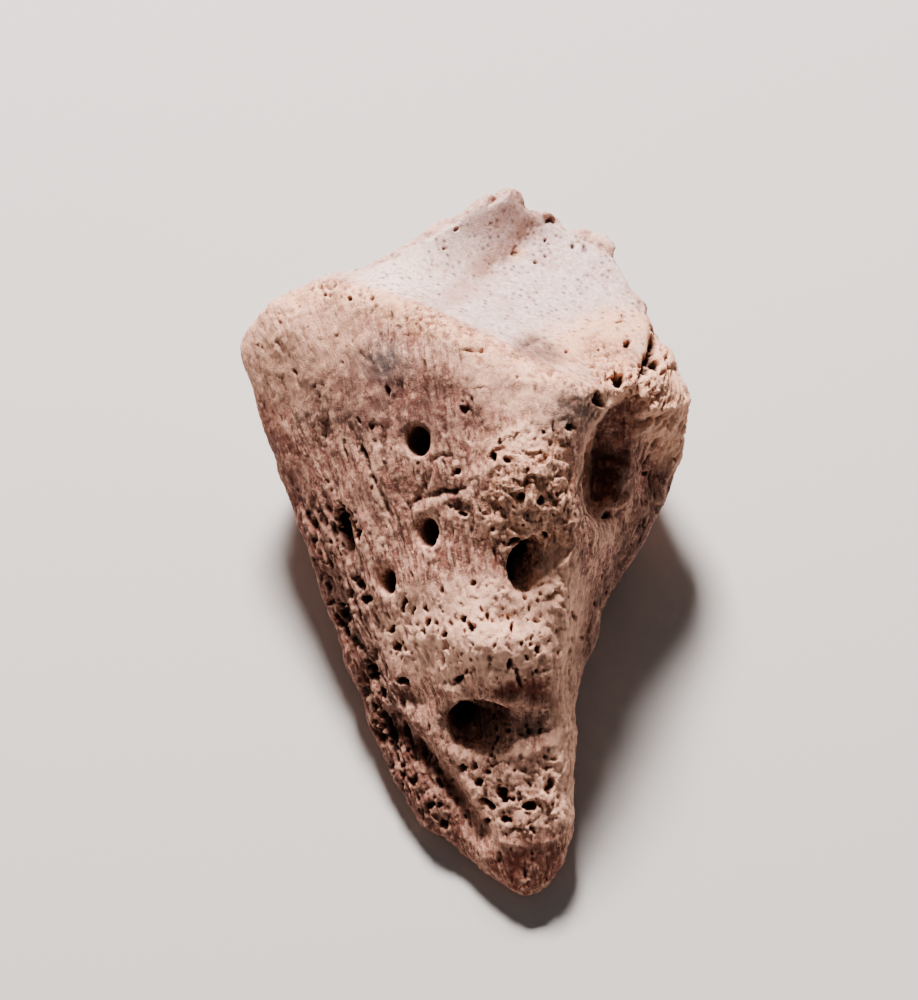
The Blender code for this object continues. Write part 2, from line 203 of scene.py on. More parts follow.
# A soft push sideways, which moves an outline or a rim: its middle in the picture, how far it reaches, and
# how far it moves what is there to the right and up.
Push = namedtuple("Push", "pixel reach way")
PUSHES = {
    "left rim of the joint face": Push((457, 209), 1.6, (0.2, -0.6)),
    "right side of the peak": Push((531, 199), 1.3, (-0.8, -0.3)),
    "corner over the notch": Push((556, 216), 0.8, (0.3, 0.7)),
    "notch of the rim": Push((567, 225), 0.7, (-0.2, -0.6)),
    "bump beside the notch": Push((580, 227), 0.9, (0.1, 0.5)),
    "right rim of the joint face": Push((606, 241), 2.4, (0.5, 0.7)),
    "bay of the right rim": Push((636, 289), 1.2, (-0.7, -0.2)),
    "crevice of the right rim": Push((662, 343), 1.3, (-1.0, -0.1)),
    "back of the knob": Push((684, 374), 1.8, (-0.6, -0.3)),
    "front of the knob": Push((678, 462), 2.0, (0.5, 0.0)),
    "upper canal": Push((424, 444), 4.2, (-0.6, 0.7)),
    "middle canal": Push((434, 534), 3.6, (-0.6, 0.5)),
    "lower canal": Push((392, 582), 3.4, (-0.5, 0.3)),
    "outer slot": Push((352, 535), 2.4, (-0.5, 0.7)),
    "right rim of the great canal": Push((545, 566), 1.8, (-0.8, 0.0)),
    "upper end of the great canal": Push((549, 535), 1.2, (0.5, 0.5)),
    "lower end of the great canal": Push((524, 588), 1.0, (0.0, -0.5)),
    "rim of the flank hollow": Push((599, 464), 3.8, (-1.4, 0.0)),
    "foot of the flank hollow": Push((606, 505), 1.8, (-1.3, -0.2)),
    "top of the flank hollow": Push((632, 408), 2.4, (0.4, 0.8)),
    "nub of the outer corner": Push((271, 291), 0.8, (-0.1, 0.5)),
    "outer side of the toe": Push((424, 824), 2.2, (-0.5, -0.5)),
    "end of the tip": Push((524, 898), 2.4, (0.0, 0.6)),
}

# A broad form of the front that stands proud, or is sunk where its height is negative: its middle in the
# picture, its half width and half height, its turn in degrees and its height.
Form = namedtuple("Form", "pixel half turn height")
FORMS = {
    "mound": Form((528, 488), (3.8, 6.5), 8, 0.7),
    "hollow beside the mound": Form((474, 565), (4.0, 4.0), 0, -0.6),
    "cheek under the joint edge": Form((440, 405), (7.0, 3.2), -12, -0.3),
    "slope into the great canal": Form((549, 549), (1.4, 2.6), -15, -0.8),
    "roll over the toe hollow": Form((482, 640), (8.0, 2.6), -8, 0.7),
    "first red hollow": Form((506, 690), (1.7, 1.3), 10, -0.7),
    "second red hollow": Form((533, 693), (1.6, 1.4), -10, -0.6),
    "floor of the toe hollow": Form((520, 735), (4.0, 2.8), -8, 1.3),
    "sill of the toe hollow": Form((480, 752), (3.0, 1.4), 0, 0.5),
    "trough left of the lip": Form((411, 699), (1.8, 1.2), -35, -0.6),
    "fold left of the toe hollow": Form((415, 722), (0.9, 3.2), 40, 0.4),
    "crumbled block of the toe": Form((420, 795), (1.8, 4.4), 32, 0.4),
    "bump beside the toe hollow": Form((547, 721), (0.6, 0.7), 0, 0.5),
    "rise of the joint face": Form((600, 336), (6.0, 2.0), 8, 0.5),
    "bay under the knob": Form((648, 468), (3.2, 3.6), -25, -1.6),
    "floor of the flank hollow": Form((626, 482), (2.2, 3.2), -20, 1.3),
    "ledge of the flank hollow": Form((612, 503), (2.0, 0.9), 12, 0.8),
    "step over the tip": Form((530, 866), (3.4, 2.2), 0, -0.4),
}

# A line pressed into the front, or raised from it where the depth is negative: where it runs in the picture,
# its half width and its depth.
Line = namedtuple("Line", "run half depth")
LINES = {
    "furrow left of the upper canal": Line(((344, 412), (358, 446), (376, 488)), 0.65, 0.35),
    "crack in the furrow": Line(((358, 440), (366, 460), (374, 480)), 0.25, 0.4),
    "furrow beside it": Line(((376, 396), (385, 420), (383, 455), (386, 484)), 0.4, 0.35),
    "furrow below it": Line(((373, 476), (385, 502), (395, 524)), 0.3, 0.35),
    "slit to the middle canal": Line(((432, 470), (423, 490), (408, 512)), 0.35, 0.3),
    "slot over the middle canal": Line(((416, 500), (436, 493), (450, 491), (468, 486)), 0.4, 0.6),
    "ledge under the slot": Line(((424, 510), (440, 503), (462, 497)), 0.4, -0.1),
    "curved slit": Line(((460, 460), (444, 454), (428, 462)), 0.25, 0.25),
    "left furrow": Line(((317, 480), (330, 520), (338, 548)), 0.4, 0.3),
    "far left furrow": Line(((286, 468), (295, 494), (312, 530)), 0.6, 0.45),
    "crevice at the joint corner": Line(((655, 332), (652, 350), (645, 368), (640, 390)), 0.4, 1.6),
    "outer toe groove": Line(((392, 722), (426, 750), (446, 782), (462, 806), (478, 838)), 0.6, 0.45),
    "bank of the toe groove": Line(((402, 712), (430, 730), (452, 762), (462, 790)), 0.7, -0.2),
    "rim of the flank hollow": Line(
        ((624, 394), (606, 406), (594, 424), (588, 448), (586, 478), (590, 510)), 0.3, -0.4
    ),
    "lip of the toe hollow": Line(((434, 688), (452, 691), (470, 699), (492, 707), (515, 712)), 0.35, -0.3),
    "fold over the lip": Line(((440, 680), (456, 684), (474, 692)), 0.3, 0.2),
    "crest of the inner side": Line(((556, 580), (567, 650), (569, 730), (565, 815)), 0.8, -0.5),
    "ledge over the tip": Line(((496, 838), (515, 848), (545, 842), (574, 836)), 0.5, -0.15),
    "undercut of the notch": Line(((544, 225), (551, 219), (561, 215)), 0.25, 0.5),
    "ledge of the knob": Line(((628, 414), (650, 409), (672, 408), (690, 400)), 0.5, -0.5),
    "slot under the ledge": Line(((634, 424), (655, 420), (672, 420)), 0.4, 0.4),
    "crease of the joint face": Line(((546, 212), (520, 243), (490, 270), (455, 294)), 1.0, 0.3),
    "arc in the joint face": Line(((518, 364), (521, 347), (532, 339), (560, 334)), 0.5, 0.5),
}

# A pit that stands out: its middle in the picture, its half width and half height, its turn in degrees and
# its depth.
Pit = namedtuple("Pit", "pixel half turn depth")
PITS = {
    "outer slot": Pit((348, 523), (0.9, 1.9), 22, 1.2),
    "slit pit over the canals": Pit((387, 391), (0.25, 0.5), 0, 0.6),
    "pinhole by the upper canal": Pit((372, 426), (0.25, 0.25), 0, 0.5),
    "hole right of the upper canal": Pit((456, 472), (0.5, 0.35), 30, 0.9),
    "dip right of the middle canal": Pit((460, 507), (1.2, 0.8), 0, 0.4),
    "hole in the dip": Pit((461, 514), (0.5, 0.3), 0, 0.8),
    "notch under the cheek": Pit((464, 409), (0.5, 0.45), 0, 0.5),
    "shallow dip of the shoulder": Pit((327, 427), (0.7, 1.4), 0, 0.4),
    "hollow left of the lower canal": Pit((359, 585), (0.5, 1.0), 25, 0.8),
    "pit left of the lower canal": Pit((366, 599), (0.5, 0.7), 0, 1.0),
    "slit pit under the lower canal": Pit((405, 602), (0.25, 0.9), -10, 0.7),
    "pit beside the slit": Pit((414, 610), (0.2, 0.5), -8, 0.8),
    "first pit of the band": Pit((428, 622), (0.3, 0.5), 0, 1.0),
    "second pit of the band": Pit((447, 634), (0.3, 0.35), 0, 0.9),
    "third pit of the band": Pit((464, 620), (0.35, 0.4), 0, 1.0),
    "fourth pit of the band": Pit((472, 628), (0.4, 0.55), 15, 1.1),
    "grey dip of the band": Pit((449, 645), (0.5, 0.8), 10, 0.4),
    "outer pit of the band": Pit((391, 630), (0.6, 0.4), 40, 0.9),
    "low outer pit of the band": Pit((397, 647), (0.45, 0.65), 10, 1.0),
    "slit under the great canal": Pit((525, 598), (0.2, 0.6), 20, 0.7),
    "inner slit of the band": Pit((512, 628), (0.15, 0.7), 0, 0.6),
    "inner pit of the band": Pit((537, 650), (0.25, 0.5), 10, 0.9),
    "pit over the shelf": Pit((510, 662), (0.4, 0.6), 0, 0.9),
    "pit on the shelf": Pit((457, 681), (0.6, 0.5), 20, 1.1),
    "inner slit on the shelf": Pit((520, 681), (0.25, 0.7), 10, 0.7),
    "outer slit on the shelf": Pit((404, 682), (0.8, 0.4), -30, 0.8),
    "pit left of the mound": Pit((494, 457), (0.3, 0.6), 0, 0.9),
    "pit on the mound": Pit((507, 459), (0.45, 0.35), 0, 0.9),
    "deep pit of the mound": Pit((521, 496), (0.6, 0.5), 0, 1.0),
    "low pit of the mound": Pit((540, 500), (0.45, 0.45), 0, 0.9),
    "notch over the great canal": Pit((515, 540), (0.7, 0.35), 35, 1.3),
    "pit beside the great canal": Pit((546, 536), (0.35, 0.35), 0, 0.9),
    "great pit of the corner": Pit((619, 380), (0.8, 0.8), 0, 2.0),
    "outer pit of the corner": Pit((597, 400), (0.55, 0.8), 20, 1.8),
    "back pit of the corner": Pit((627, 345), (0.5, 0.3), 30, 1.0),
    "inner pit of the corner": Pit((640, 377), (0.5, 0.7), 0, 1.3),
    "edge pit of the corner": Pit((655, 366), (0.45, 0.6), 0, 1.4),
    "pit in the blue patch": Pit((571, 427), (0.65, 0.4), -20, 1.0),
    "left speck of the joint face": Pit((546, 240), (0.3, 0.25), 20, 0.5),
    "low speck of the joint face": Pit((545, 255), (0.25, 0.3), 0, 0.5),
    "upper speck of the joint face": Pit((572, 246), (0.3, 0.25), 0, 0.5),
    "right speck of the joint face": Pit((584, 249), (0.2, 0.4), 0, 0.5),
    "flat speck of the joint face": Pit((536, 262), (0.4, 0.2), 0, 0.5),
    "left speck of the valley": Pit((457, 229), (0.3, 0.2), 20, 0.4),
    "outer speck of the valley": Pit((443, 248), (0.2, 0.2), 0, 0.4),
    "rust spot of the joint face": Pit((516, 252), (0.6, 0.4), 20, 0.3),
    "pit of the joint rise": Pit((566, 353), (0.25, 0.2), 0, 0.5),
    "slit of the joint rise": Pit((617, 323), (0.5, 0.15), 15, 0.4),
    "pit under the flank hollow": Pit((607, 515), (0.4, 0.35), 0, 0.9),
    "pit of the knob": Pit((651, 474), (0.5, 0.3), 20, 0.5),
    "first pit of the toe": Pit((512, 732), (0.4, 0.35), 0, 0.9),
    "second pit of the toe": Pit((497, 744), (0.35, 0.35), 0, 0.9),
    "outer pit of the toe": Pit((462, 768), (0.55, 0.4), -30, 0.9),
    "round pit of the toe": Pit((479, 782), (0.55, 0.5), 0, 0.8),
    "long pit of the toe": Pit((502, 794), (1.0, 0.55), -35, 1.5),
    "long outer pit of the toe": Pit((487, 804), (1.0, 0.4), -30, 1.3),
    "deep inner pit of the toe": Pit((531, 806), (0.7, 0.6), 0, 1.5),
    "low pit of the toe": Pit((505, 820), (0.7, 0.55), 0, 1.1),
    "inner slit of the toe": Pit((551, 785), (0.45, 0.9), 0, 0.8),
    "long hollow of the outer edge": Pit((345, 614), (0.8, 1.6), 22, 1.1),
    "second hollow of the outer edge": Pit((372, 672), (0.65, 1.3), 25, 1.2),
    "third hollow of the outer edge": Pit((382, 692), (0.5, 0.8), 20, 0.9),
    "fourth hollow of the outer edge": Pit((391, 732), (0.9, 1.7), 20, 1.2),
}

# Small pits scattered over a zone: how many, their smallest and largest half width, their longest stretch
# along the fibres, and their depth as a share of their half width.
Scatter = namedtuple("Scatter", "zone count small large stretch depth")
SCATTERS = (
    Scatter("front", 110, 0.08, 0.20, 3.2, 1.4),
    Scatter("pit band", 90, 0.09, 0.28, 2.4, 2.2),
    Scatter("shelf", 20, 0.12, 0.34, 2.0, 1.8),
    Scatter("mound", 34, 0.12, 0.32, 1.6, 2.0),
    Scatter("corner", 16, 0.14, 0.36, 1.8, 2.2),
    Scatter("knob", 16, 0.12, 0.30, 2.0, 1.8),
    Scatter("toe", 40, 0.14, 0.45, 1.8, 2.0),
    Scatter("tip", 12, 0.12, 0.26, 2.6, 1.6),
    Scatter("toe block", 16, 0.14, 0.4, 2.0, 1.6),
    Scatter("left margin", 150, 0.10, 0.42, 3.4, 1.8),
    Scatter("joint edge", 40, 0.08, 0.20, 1.6, 1.6),
    Scatter("edge pits", 36, 0.12, 0.32, 1.6, 1.8),
    Scatter("shoulder", 24, 0.08, 0.18, 2.6, 1.4),
    Scatter("tan rise", 22, 0.08, 0.22, 1.6, 1.6),
    Scatter("joint face", 90, 0.07, 0.15, 2.2, 1.2),
    Scatter("inner flank", 50, 0.10, 0.28, 3.2, 1.8),
    Scatter("tail of the toe hollow", 18, 0.12, 0.32, 1.4, 2.0),
)
SCATTER_SEED = 11
# How far scattered pits stray from the middle of a band and from the fibres' turn, and how their depths vary.
BAND_SPREAD = 0.45
SCATTER_TURN = 12.0
SCATTER_DEPTHS = (0.7, 1.2)

# A pit's bowl rises between two distances from its middle, and a slight rim stands round it at a third, with
# its own height and half width. How far out a pit is felt comes last. All but the height are shares of the
# pit's half width.
PIT_BOWL = (0.45, 1.15)
PIT_RIM_AT = 1.5
PIT_RIM_HEIGHT = 0.02
PIT_RIM_HALF = 0.3
PIT_REACH = 2.5

# Blender's noise vectors start from the clock unless they are given a seed.
NOISE_SEED = 5
# How far the noise of one seed lies from that of the next, for each kind of noise.
LUMP_STEP = 17.31
STRAY_STEP = 13.13
CELL_STEP = 11.7
CHANCE_STEP = 31.7
# How fast the finer octaves of lumps fade, and how many times finer each is than the one before.
LUMP_FADE = 0.9
LUMP_FINER = 2.0
# A field isn't worked out where its share is less than this.
LEAST_SHARE = 0.02

# A canal or hollow cut again with a crisp rim: its mouth, the way it goes in, its half width and half length,
# its depth, which way its length lies, and how pointed its ends are, from 0 for round to 1 for a leaf. The
# mouth is a place in the picture on the front, and a place on the bone elsewhere.
Canal = namedtuple("Canal", "mouth into half_width half_length depth along point")
DOWN = (0.0, -0.8, -0.6)
CANALS = {
    "upper canal": Canal((-5.0, 2.3, 28.1), (0.55, 0.5, -0.75), 1.45, 1.5, 6.0, DOWN, 0.0),
    "middle canal": Canal((-4.5, -6.0, 23.4), (0.6, 0.55, -0.6), 1.25, 1.45, 5.0, DOWN, 0.0),
    "lower canal": Canal((-8.4, -7.9, 17.4), (0.8, 0.35, -0.45), 1.2, 1.3, 4.5, DOWN, 0.0),
    "great canal": Canal((527, 562), (-0.45, 0.6, -0.7), 1.7, 3.1, 8.0, (-0.35, -0.8, -0.6), 0.9),
    "toe hollow": Canal((468, 720), (-0.2, 0.75, -0.65), 1.8, 1.9, 4.5, (1.0, 0.1, -0.4), 0.2),
    "outer heel canal": Canal((-7.0, 27.5, 11.0), (0.45, -0.85, -0.1), 1.6, 2.0, 6.0, (1.0, 0.5, 0.0), 0.3),
    "inner heel canal": Canal((12.0, 31.5, 10.0), (-0.3, -0.95, 0.0), 1.8, 2.3, 6.0, (1.0, -0.3, 0.0), 0.3),
    "outer sole canal": Canal((-5.0, 3.5, 2.0), (0.2, 0.5, 0.85), 1.5, 2.2, 5.0, (0.2, 1.0, 0.0), 0.3),
    "inner sole canal": Canal((9.0, 4.5, 2.0), (-0.2, 0.5, 0.85), 1.7, 2.4, 5.0, (-0.2, 1.0, 0.0), 0.3),
    "outer flank canal": Canal((-19.5, 6.5, 8.0), (0.9, -0.3, 0.1), 1.3, 1.9, 4.0, (0.3, 1.0, 0.2), 0.3),
}
# Canals whose rims are smooth. Those of the others are as weathered as what is round them.
SMOOTH_CANALS = ("upper canal", "middle canal", "lower canal")
# How many rays find a mouth, how far outside the mouth their ring lies, how far out they start, how far a
# cutter stands out of the mouth as a share of its depth, and how uneven the rim is.
MOUTH_RAYS = 12
MOUTH_RING = 0.9
MOUTH_START = 12.0
CUTTER_STAND = 0.4
RIM_UNEVEN = 0.12
# A canal is felt this far out of its mouth, and this many times its depth inwards. Its edge and a smooth rim
# fade between two shares of its half width, and the painted shade inside it sets in between two depths.
CANAL_STAND = 2.0
CANAL_PAST = 1.2
CANAL_EDGE = (1.0, 1.15)
SMOOTH_RIM = (1.05, 1.35)
DARK_DEPTHS = (1.2, 3.6)
SMOOTH_DARK_DEPTHS = (0.1, 1.8)

# A layer of colour: its name, the mask that says where it goes, its share there, and the size of its
# blotches, the two levels of noise that they fade between and how fine they are. A size with three numbers
# lies along the fibres, and a layer without a size is even.
Layer = namedtuple("Layer", "colour mask share size low high detail", defaults=(None, 0.0, 1.0, 3.0))
BONE_LAYERS = (
    Layer("pale", "everywhere", 0.7, 3.2, 0.38, 0.7, 6.0),
    Layer("pale", "pale", 1.0, 1.2, 0.2, 0.45),
    Layer("tan", "tan", 1.0, 0.9, 0.2, 0.55),
    Layer("recess", "off the pale", 1.0, (0.45, 0.6, 3.0), 0.48, 0.62, 4.0),
    Layer("ridge", "everywhere", 0.75, (0.5, 0.8, 3.4), 0.48, 0.62, 4.0),
    Layer("recess", "everywhere", 0.4, 1.5, 0.48, 0.62, 6.0),
    Layer("recess", "off the pale", 1.0, 0.5, 0.5, 0.66, 5.0),
    Layer("ridge", "everywhere", 0.6, 0.45, 0.52, 0.66, 5.0),
    Layer("rust", "rust", 1.0, 1.5, 0.2, 0.6),
    Layer("grey", "grey", 1.0, 0.9, 0.2, 0.5),
    # Crests and pale zones in the ridge colour: wear, and painted highlight.
    Layer("ridge", "ridge", 1.0, 0.9, 0.35, 0.75),
    Layer("ridge", "pale", 1.0, 1.0, 0.3, 0.6),
)
JOINT_LAYERS = (
    Layer("cream", "pale", 0.9),
    Layer("stain", "everywhere", 0.6, 3.0, 0.42, 0.75, 5.0),
    Layer("cream", "everywhere", 0.6, 0.7, 0.48, 0.62, 5.0),
    Layer("tan", "tan", 1.0, 0.8, 0.2, 0.5),
    # Over the stain mask: a stain, and painted shade in the joint valley and beside the peak.
    Layer("stain", "stain", 1.0, 1.2, 0.15, 0.6),
    Layer("recess", "flecks", 0.9),
    Layer("stain", "everywhere", 0.55, 0.5, 0.46, 0.64, 5.0),
    Layer("recess", "everywhere", 0.45, 0.3, 0.56, 0.7),
)
# Over both: painted shade of the dark zones, the rim's rust, dirt and painted shade in recesses, painted
# shade in canals and pits.
TOP_LAYERS = (
    Layer("recess", "dark", 1.0, 1.4, 0.15, 0.6),
    Layer("rust", "rim", 0.6, 0.7, 0.4, 0.6),
    Layer("recess", "dirt and painted shade", 1.0),
    Layer("canal", "canal", 1.0),
)
# How strong the dark streaks are, and the darkening of recesses, which is dirt and painted shade, and how
# much less they are where the bone is pale.
STREAKS = 0.72
STREAKS_LESS = 0.45
DIRT_AND_SHADE = 0.9
DIRT_AND_SHADE_LESS = 0.3
# The flecks of the joint face: their spacing, their reach as a share of it, and the share that is there.
FLECK_SPACING = 0.8
FLECK_REACH = 0.5
FLECK_SHARE = 0.55
# How dull the bone and its joint face are, how shiny both are, how strong and how deep the grain is, and how
# much of it grain and threads are, the latter on the bone and on its joint face.
DULLNESS = (0.88, 0.62)
SHINE = 0.35
GRAIN_STRENGTH = 0.7
GRAIN_DEPTH = 0.16
GRAIN_SHARE = 0.4
THREAD_SHARES = (0.5, 0.0)

# The directions that the bone's charts are laid out from: the way each chart faces and the way up in it.
Chart = namedtuple("Chart", "facing up")
CHARTS = (
    Chart((0.0, -0.5, 0.87), (0.0, 0.87, 0.5)),
    Chart((0.23, 0.38, 0.89), (0.0, 0.9, -0.4)),
    Chart((-1.0, -0.15, 0.1), (0.0, 0.0, 1.0)),
    Chart((1.0, -0.15, 0.1), (0.0, 0.0, 1.0)),
    Chart((0.0, 1.0, 0.0), (0.0, 0.0, 1.0)),
    Chart((0.0, 0.0, -1.0), (0.0, 1.0, 0.0)),
)
CHART_GAP = 1.0
CHART_ROW = 150.0


class HoofBoneSizes(bpy.types.PropertyGroup):
    """How finely the bone is meshed and how deeply it is weathered."""

    mesh_step: FloatProperty(
        name="Mesh step",
        description="Length of the bone's faces before the front is made finer",
        default=0.3 * MM,
        min=0.1 * MM,
        precision=5,
        unit="LENGTH",
    )
    triangles: IntProperty(
        name="Triangles", description="Triangles of the finished bone, about", default=192000, min=1000
    )
    swells: FloatProperty(
        name="Swells", description="Height of the broad lumps", default=0.22 * MM, precision=5, unit="LENGTH"
    )
    fibres: FloatProperty(
        name="Fibres", description="Height of the fibres", default=0.1 * MM, precision=5, unit="LENGTH"
    )
    veins: FloatProperty(
        name="Veins", description="Depth of the soft furrows", default=0.14 * MM, precision=5, unit="LENGTH"
    )
    rubble: FloatProperty(
        name="Rubble", description="Height of crumbled lumps", default=0.6 * MM, precision=5, unit="LENGTH"
    )
    sponge: FloatProperty(
        name="Sponge", description="Depth of open spongy bone", default=0.85 * MM, precision=5, unit="LENGTH"
    )
    pits: FloatProperty(
        name="Pits", description="Depth of the pits, times their own", default=1.0, min=0.0, subtype="FACTOR"
    )


class HoofBoneColours(bpy.types.PropertyGroup):
    """Colours of the bone."""

    bone: FloatVectorProperty(
        name="Bone", description="The weathered surface", default=(0.32, 0.105, 0.073), subtype="COLOR"
    )
    # Also painted highlight on the lit band, crests and rims.
    pale: FloatVectorProperty(
        name="Pale bone", description="Pale blotches and zones", default=(0.86, 0.42, 0.30), subtype="COLOR"
    )
    # Crests are painted in this colour: wear, and painted highlight.
    ridge: FloatVectorProperty(
        name="Ridges", description="Worn ridges and crumbs", default=(1.0, 0.56, 0.39), subtype="COLOR"
    )
    # Also painted shade: in recesses and hollows, and on the flanks and margins turned from the light.
    recess: FloatVectorProperty(
        name="Recesses", description="Dirt and dark streaks", default=(0.055, 0.016, 0.012), subtype="COLOR"
    )
    joint: FloatVectorProperty(
        name="Joint face", description="The smooth joint face", default=(0.68, 0.51, 0.48), subtype="COLOR"
    )
    cream: FloatVectorProperty(
        name="Cream", description="Pale parts of the joint face", default=(0.95, 0.71, 0.62), subtype="COLOR"
    )
    # Also painted shade in the valley of the joint face and beside its peak.
    stain: FloatVectorProperty(
        name="Joint stain", description="Stain on the joint face", default=(0.45, 0.23, 0.17), subtype="COLOR"
    )
    tan: FloatVectorProperty(
        name="Tan bone", description="Crumbled corner and edges", default=(0.95, 0.45, 0.23), subtype="COLOR"
    )
    grey: FloatVectorProperty(
        name="Grey patches", description="Mineral stains", default=(0.11, 0.09, 0.085), subtype="COLOR"
    )
    # Also a painted red reflection along the lower edges.
    rust: FloatVectorProperty(
        name="Rust", description="Stain of edges and toe", default=(0.23, 0.055, 0.032), subtype="COLOR"
    )
    # Painted shade deep in the canals and in the deepest pits.
    canal: FloatVectorProperty(
        name="Canals", description="The inside of the canals", default=(0.035, 0.018, 0.012), subtype="COLOR"
    )


class HoofBoneStudio(bpy.types.PropertyGroup):
    """The studio's light and floor."""

    key_power: FloatProperty(
        name="Key light", description="Power of the key light", default=22.0, min=0.0, unit="POWER"
    )
    key_size: FloatProperty(
        name="Key size", description="Width of the key light", default=150 * MM, min=10 * MM, unit="LENGTH"
    )
    key_place: FloatVectorProperty(
        name="Key place",
        description="Where the key light hangs",
        default=(-80 * MM, 470 * MM, 530 * MM),
        subtype="TRANSLATION",
    )
    fill: FloatProperty(
        name="Fill", description="Strength of the light from all around", default=0.10, min=0.0
    )
    floor: FloatVectorProperty(
        name="Floor", description="Colour of the floor", default=(0.54, 0.53, 0.52), subtype="COLOR"
    )


def add_object(name, data):
    """Adds an object to the scene."""
    added = bpy.data.objects.new(name, data)
    bpy.context.scene.collection.objects.link(added)
    return added


def pick(obj):
    """Makes an object the only one selected."""
    bpy.ops.object.select_all(action="DESELECT")
    obj.select_set(True)
    bpy.context.view_layer.objects.active = obj


def apply_modifier(obj, name, kind, **settings):
    modifier = obj.modifiers.new(name, kind)
    for key, value in settings.items():
        setattr(modifier, key, value)
    pick(obj)
    bpy.ops.object.modifier_apply(modifier=modifier.name)


def read_points(obj):
    flat = np.empty(len(obj.data.vertices) * 3)
    obj.data.vertices.foreach_get("co", flat)
    return flat.reshape(-1, 3) / MM


def write_points(obj, points):
    obj.data.vertices.foreach_set("co", (points * MM).ravel())
    obj.data.update()


def read_normals(obj):
    flat = np.empty(len(obj.data.vertices) * 3)
    obj.data.vertices.foreach_get("normal", flat)
    return flat.reshape(-1, 3)


def mark(pixel):
    """A place in the picture as millimetres to the right of and above its middle."""
    return np.array(
        ((pixel[0] - PICTURE_WIDTH / 2) / PIXELS_PER_MM, (PICTURE_HEIGHT / 2 - pixel[1]) / PIXELS_PER_MM)
    )


def seen(points):
    """Where points show in the picture, as mark gives it."""
    away = points - VIEW_EYE
    depth = -(away @ VIEW_BACK)
    return np.stack((away @ VIEW_RIGHT, away @ VIEW_UP), 1) * (VIEW_DISTANCE / depth)[:, None]


def smooth_step(low, high, values):
    share = np.clip((values - low) / (high - low), 0.0, 1.0)
    return share * share * (3.0 - 2.0 * share)


def turned(away, degrees):
    """Distances across and along something that is turned anticlockwise in the picture."""
    cos = math.cos(math.radians(degrees))
    sin = math.sin(math.radians(degrees))
    return away[:, 0] * cos + away[:, 1] * sin, away[:, 1] * cos - away[:, 0] * sin


def distance_to_run(marks, run):
    """How far each mark is from a run of places, and where along the run that is, from 0 to 1."""
    nearest = np.full(len(marks), np.inf)
    passed = np.zeros(len(marks))
    places = [mark(pixel) for pixel in run]
    for i, (start, end) in enumerate(zip(places[:-1], places[1:])):
        way = end - start
        share = np.clip(((marks - start) @ way) / (way @ way), 0.0, 1.0)
        distance = np.linalg.norm(marks - start - share[:, None] * way, axis=1)
        passed = np.where(distance < nearest, (i + share) / (len(places) - 1), passed)
        nearest = np.minimum(nearest, distance)
    return nearest, passed


def zone_share(name, marks, wobble=0.0):
    """1 inside a patch or band, fading to 0 outside it."""
    if name in BANDS:
        zone = BANDS[name]
        reach = distance_to_run(marks, zone.run)[0] / zone.half
    else:
        zone = PATCHES[name]
        across, along = turned(marks - mark(zone.pixel), zone.turn)
        reach = np.hypot(across / zone.half[0], along / zone.half[1])
    return 1.0 - smooth_step(1.0 - zone.soft, 1.0 + zone.soft, reach + wobble)


def along_fibres(points):
    """Two distances across the fibres and one along them."""
    away = points - FIBRE_SOURCE
    reach = np.linalg.norm(away, axis=1)
    return np.stack((away[:, 0] / reach * FIBRE_REACH, away[:, 2] / reach * FIBRE_REACH, reach), 1)


def lumps(places, size, seed, octaves=2):
    """Soft noise from about -1 to 1 whose lumps are about size across; size may differ along each axis."""
    scaled = places / size + seed * LUMP_STEP
    return np.array([noise.fractal(place, LUMP_FADE, LUMP_FINER, octaves) for place in scaled.tolist()])


def strays(places, size, seed):
    """A soft random push for each place, up to about 1 each way."""
    scaled = places / size + seed * STRAY_STEP
    return np.array([noise.noise_vector(place) for place in scaled.tolist()])


def cells(places, size, seed):
    """Random cells about size apart: the distance to the nearest, how much farther the next, and a chance."""
    scaled = places / size + seed * CELL_STEP
    near = np.empty(len(places))
    gap = np.empty(len(places))
    chance = np.empty(len(places))
    for i, place in enumerate(scaled.tolist()):
        far, middles = noise.voronoi(place)
        near[i] = far[0]
        gap[i] = far[1] - far[0]
        chance[i] = noise.cell(middles[0] * CHANCE_STEP)
    return near, gap, chance


def where(share, make, places):
    """A field times its share, only worked out where that share is worth it."""
    values = np.zeros(len(share))
    chosen = share > LEAST_SHARE
    values[chosen] = make(places[chosen])
    return values * share


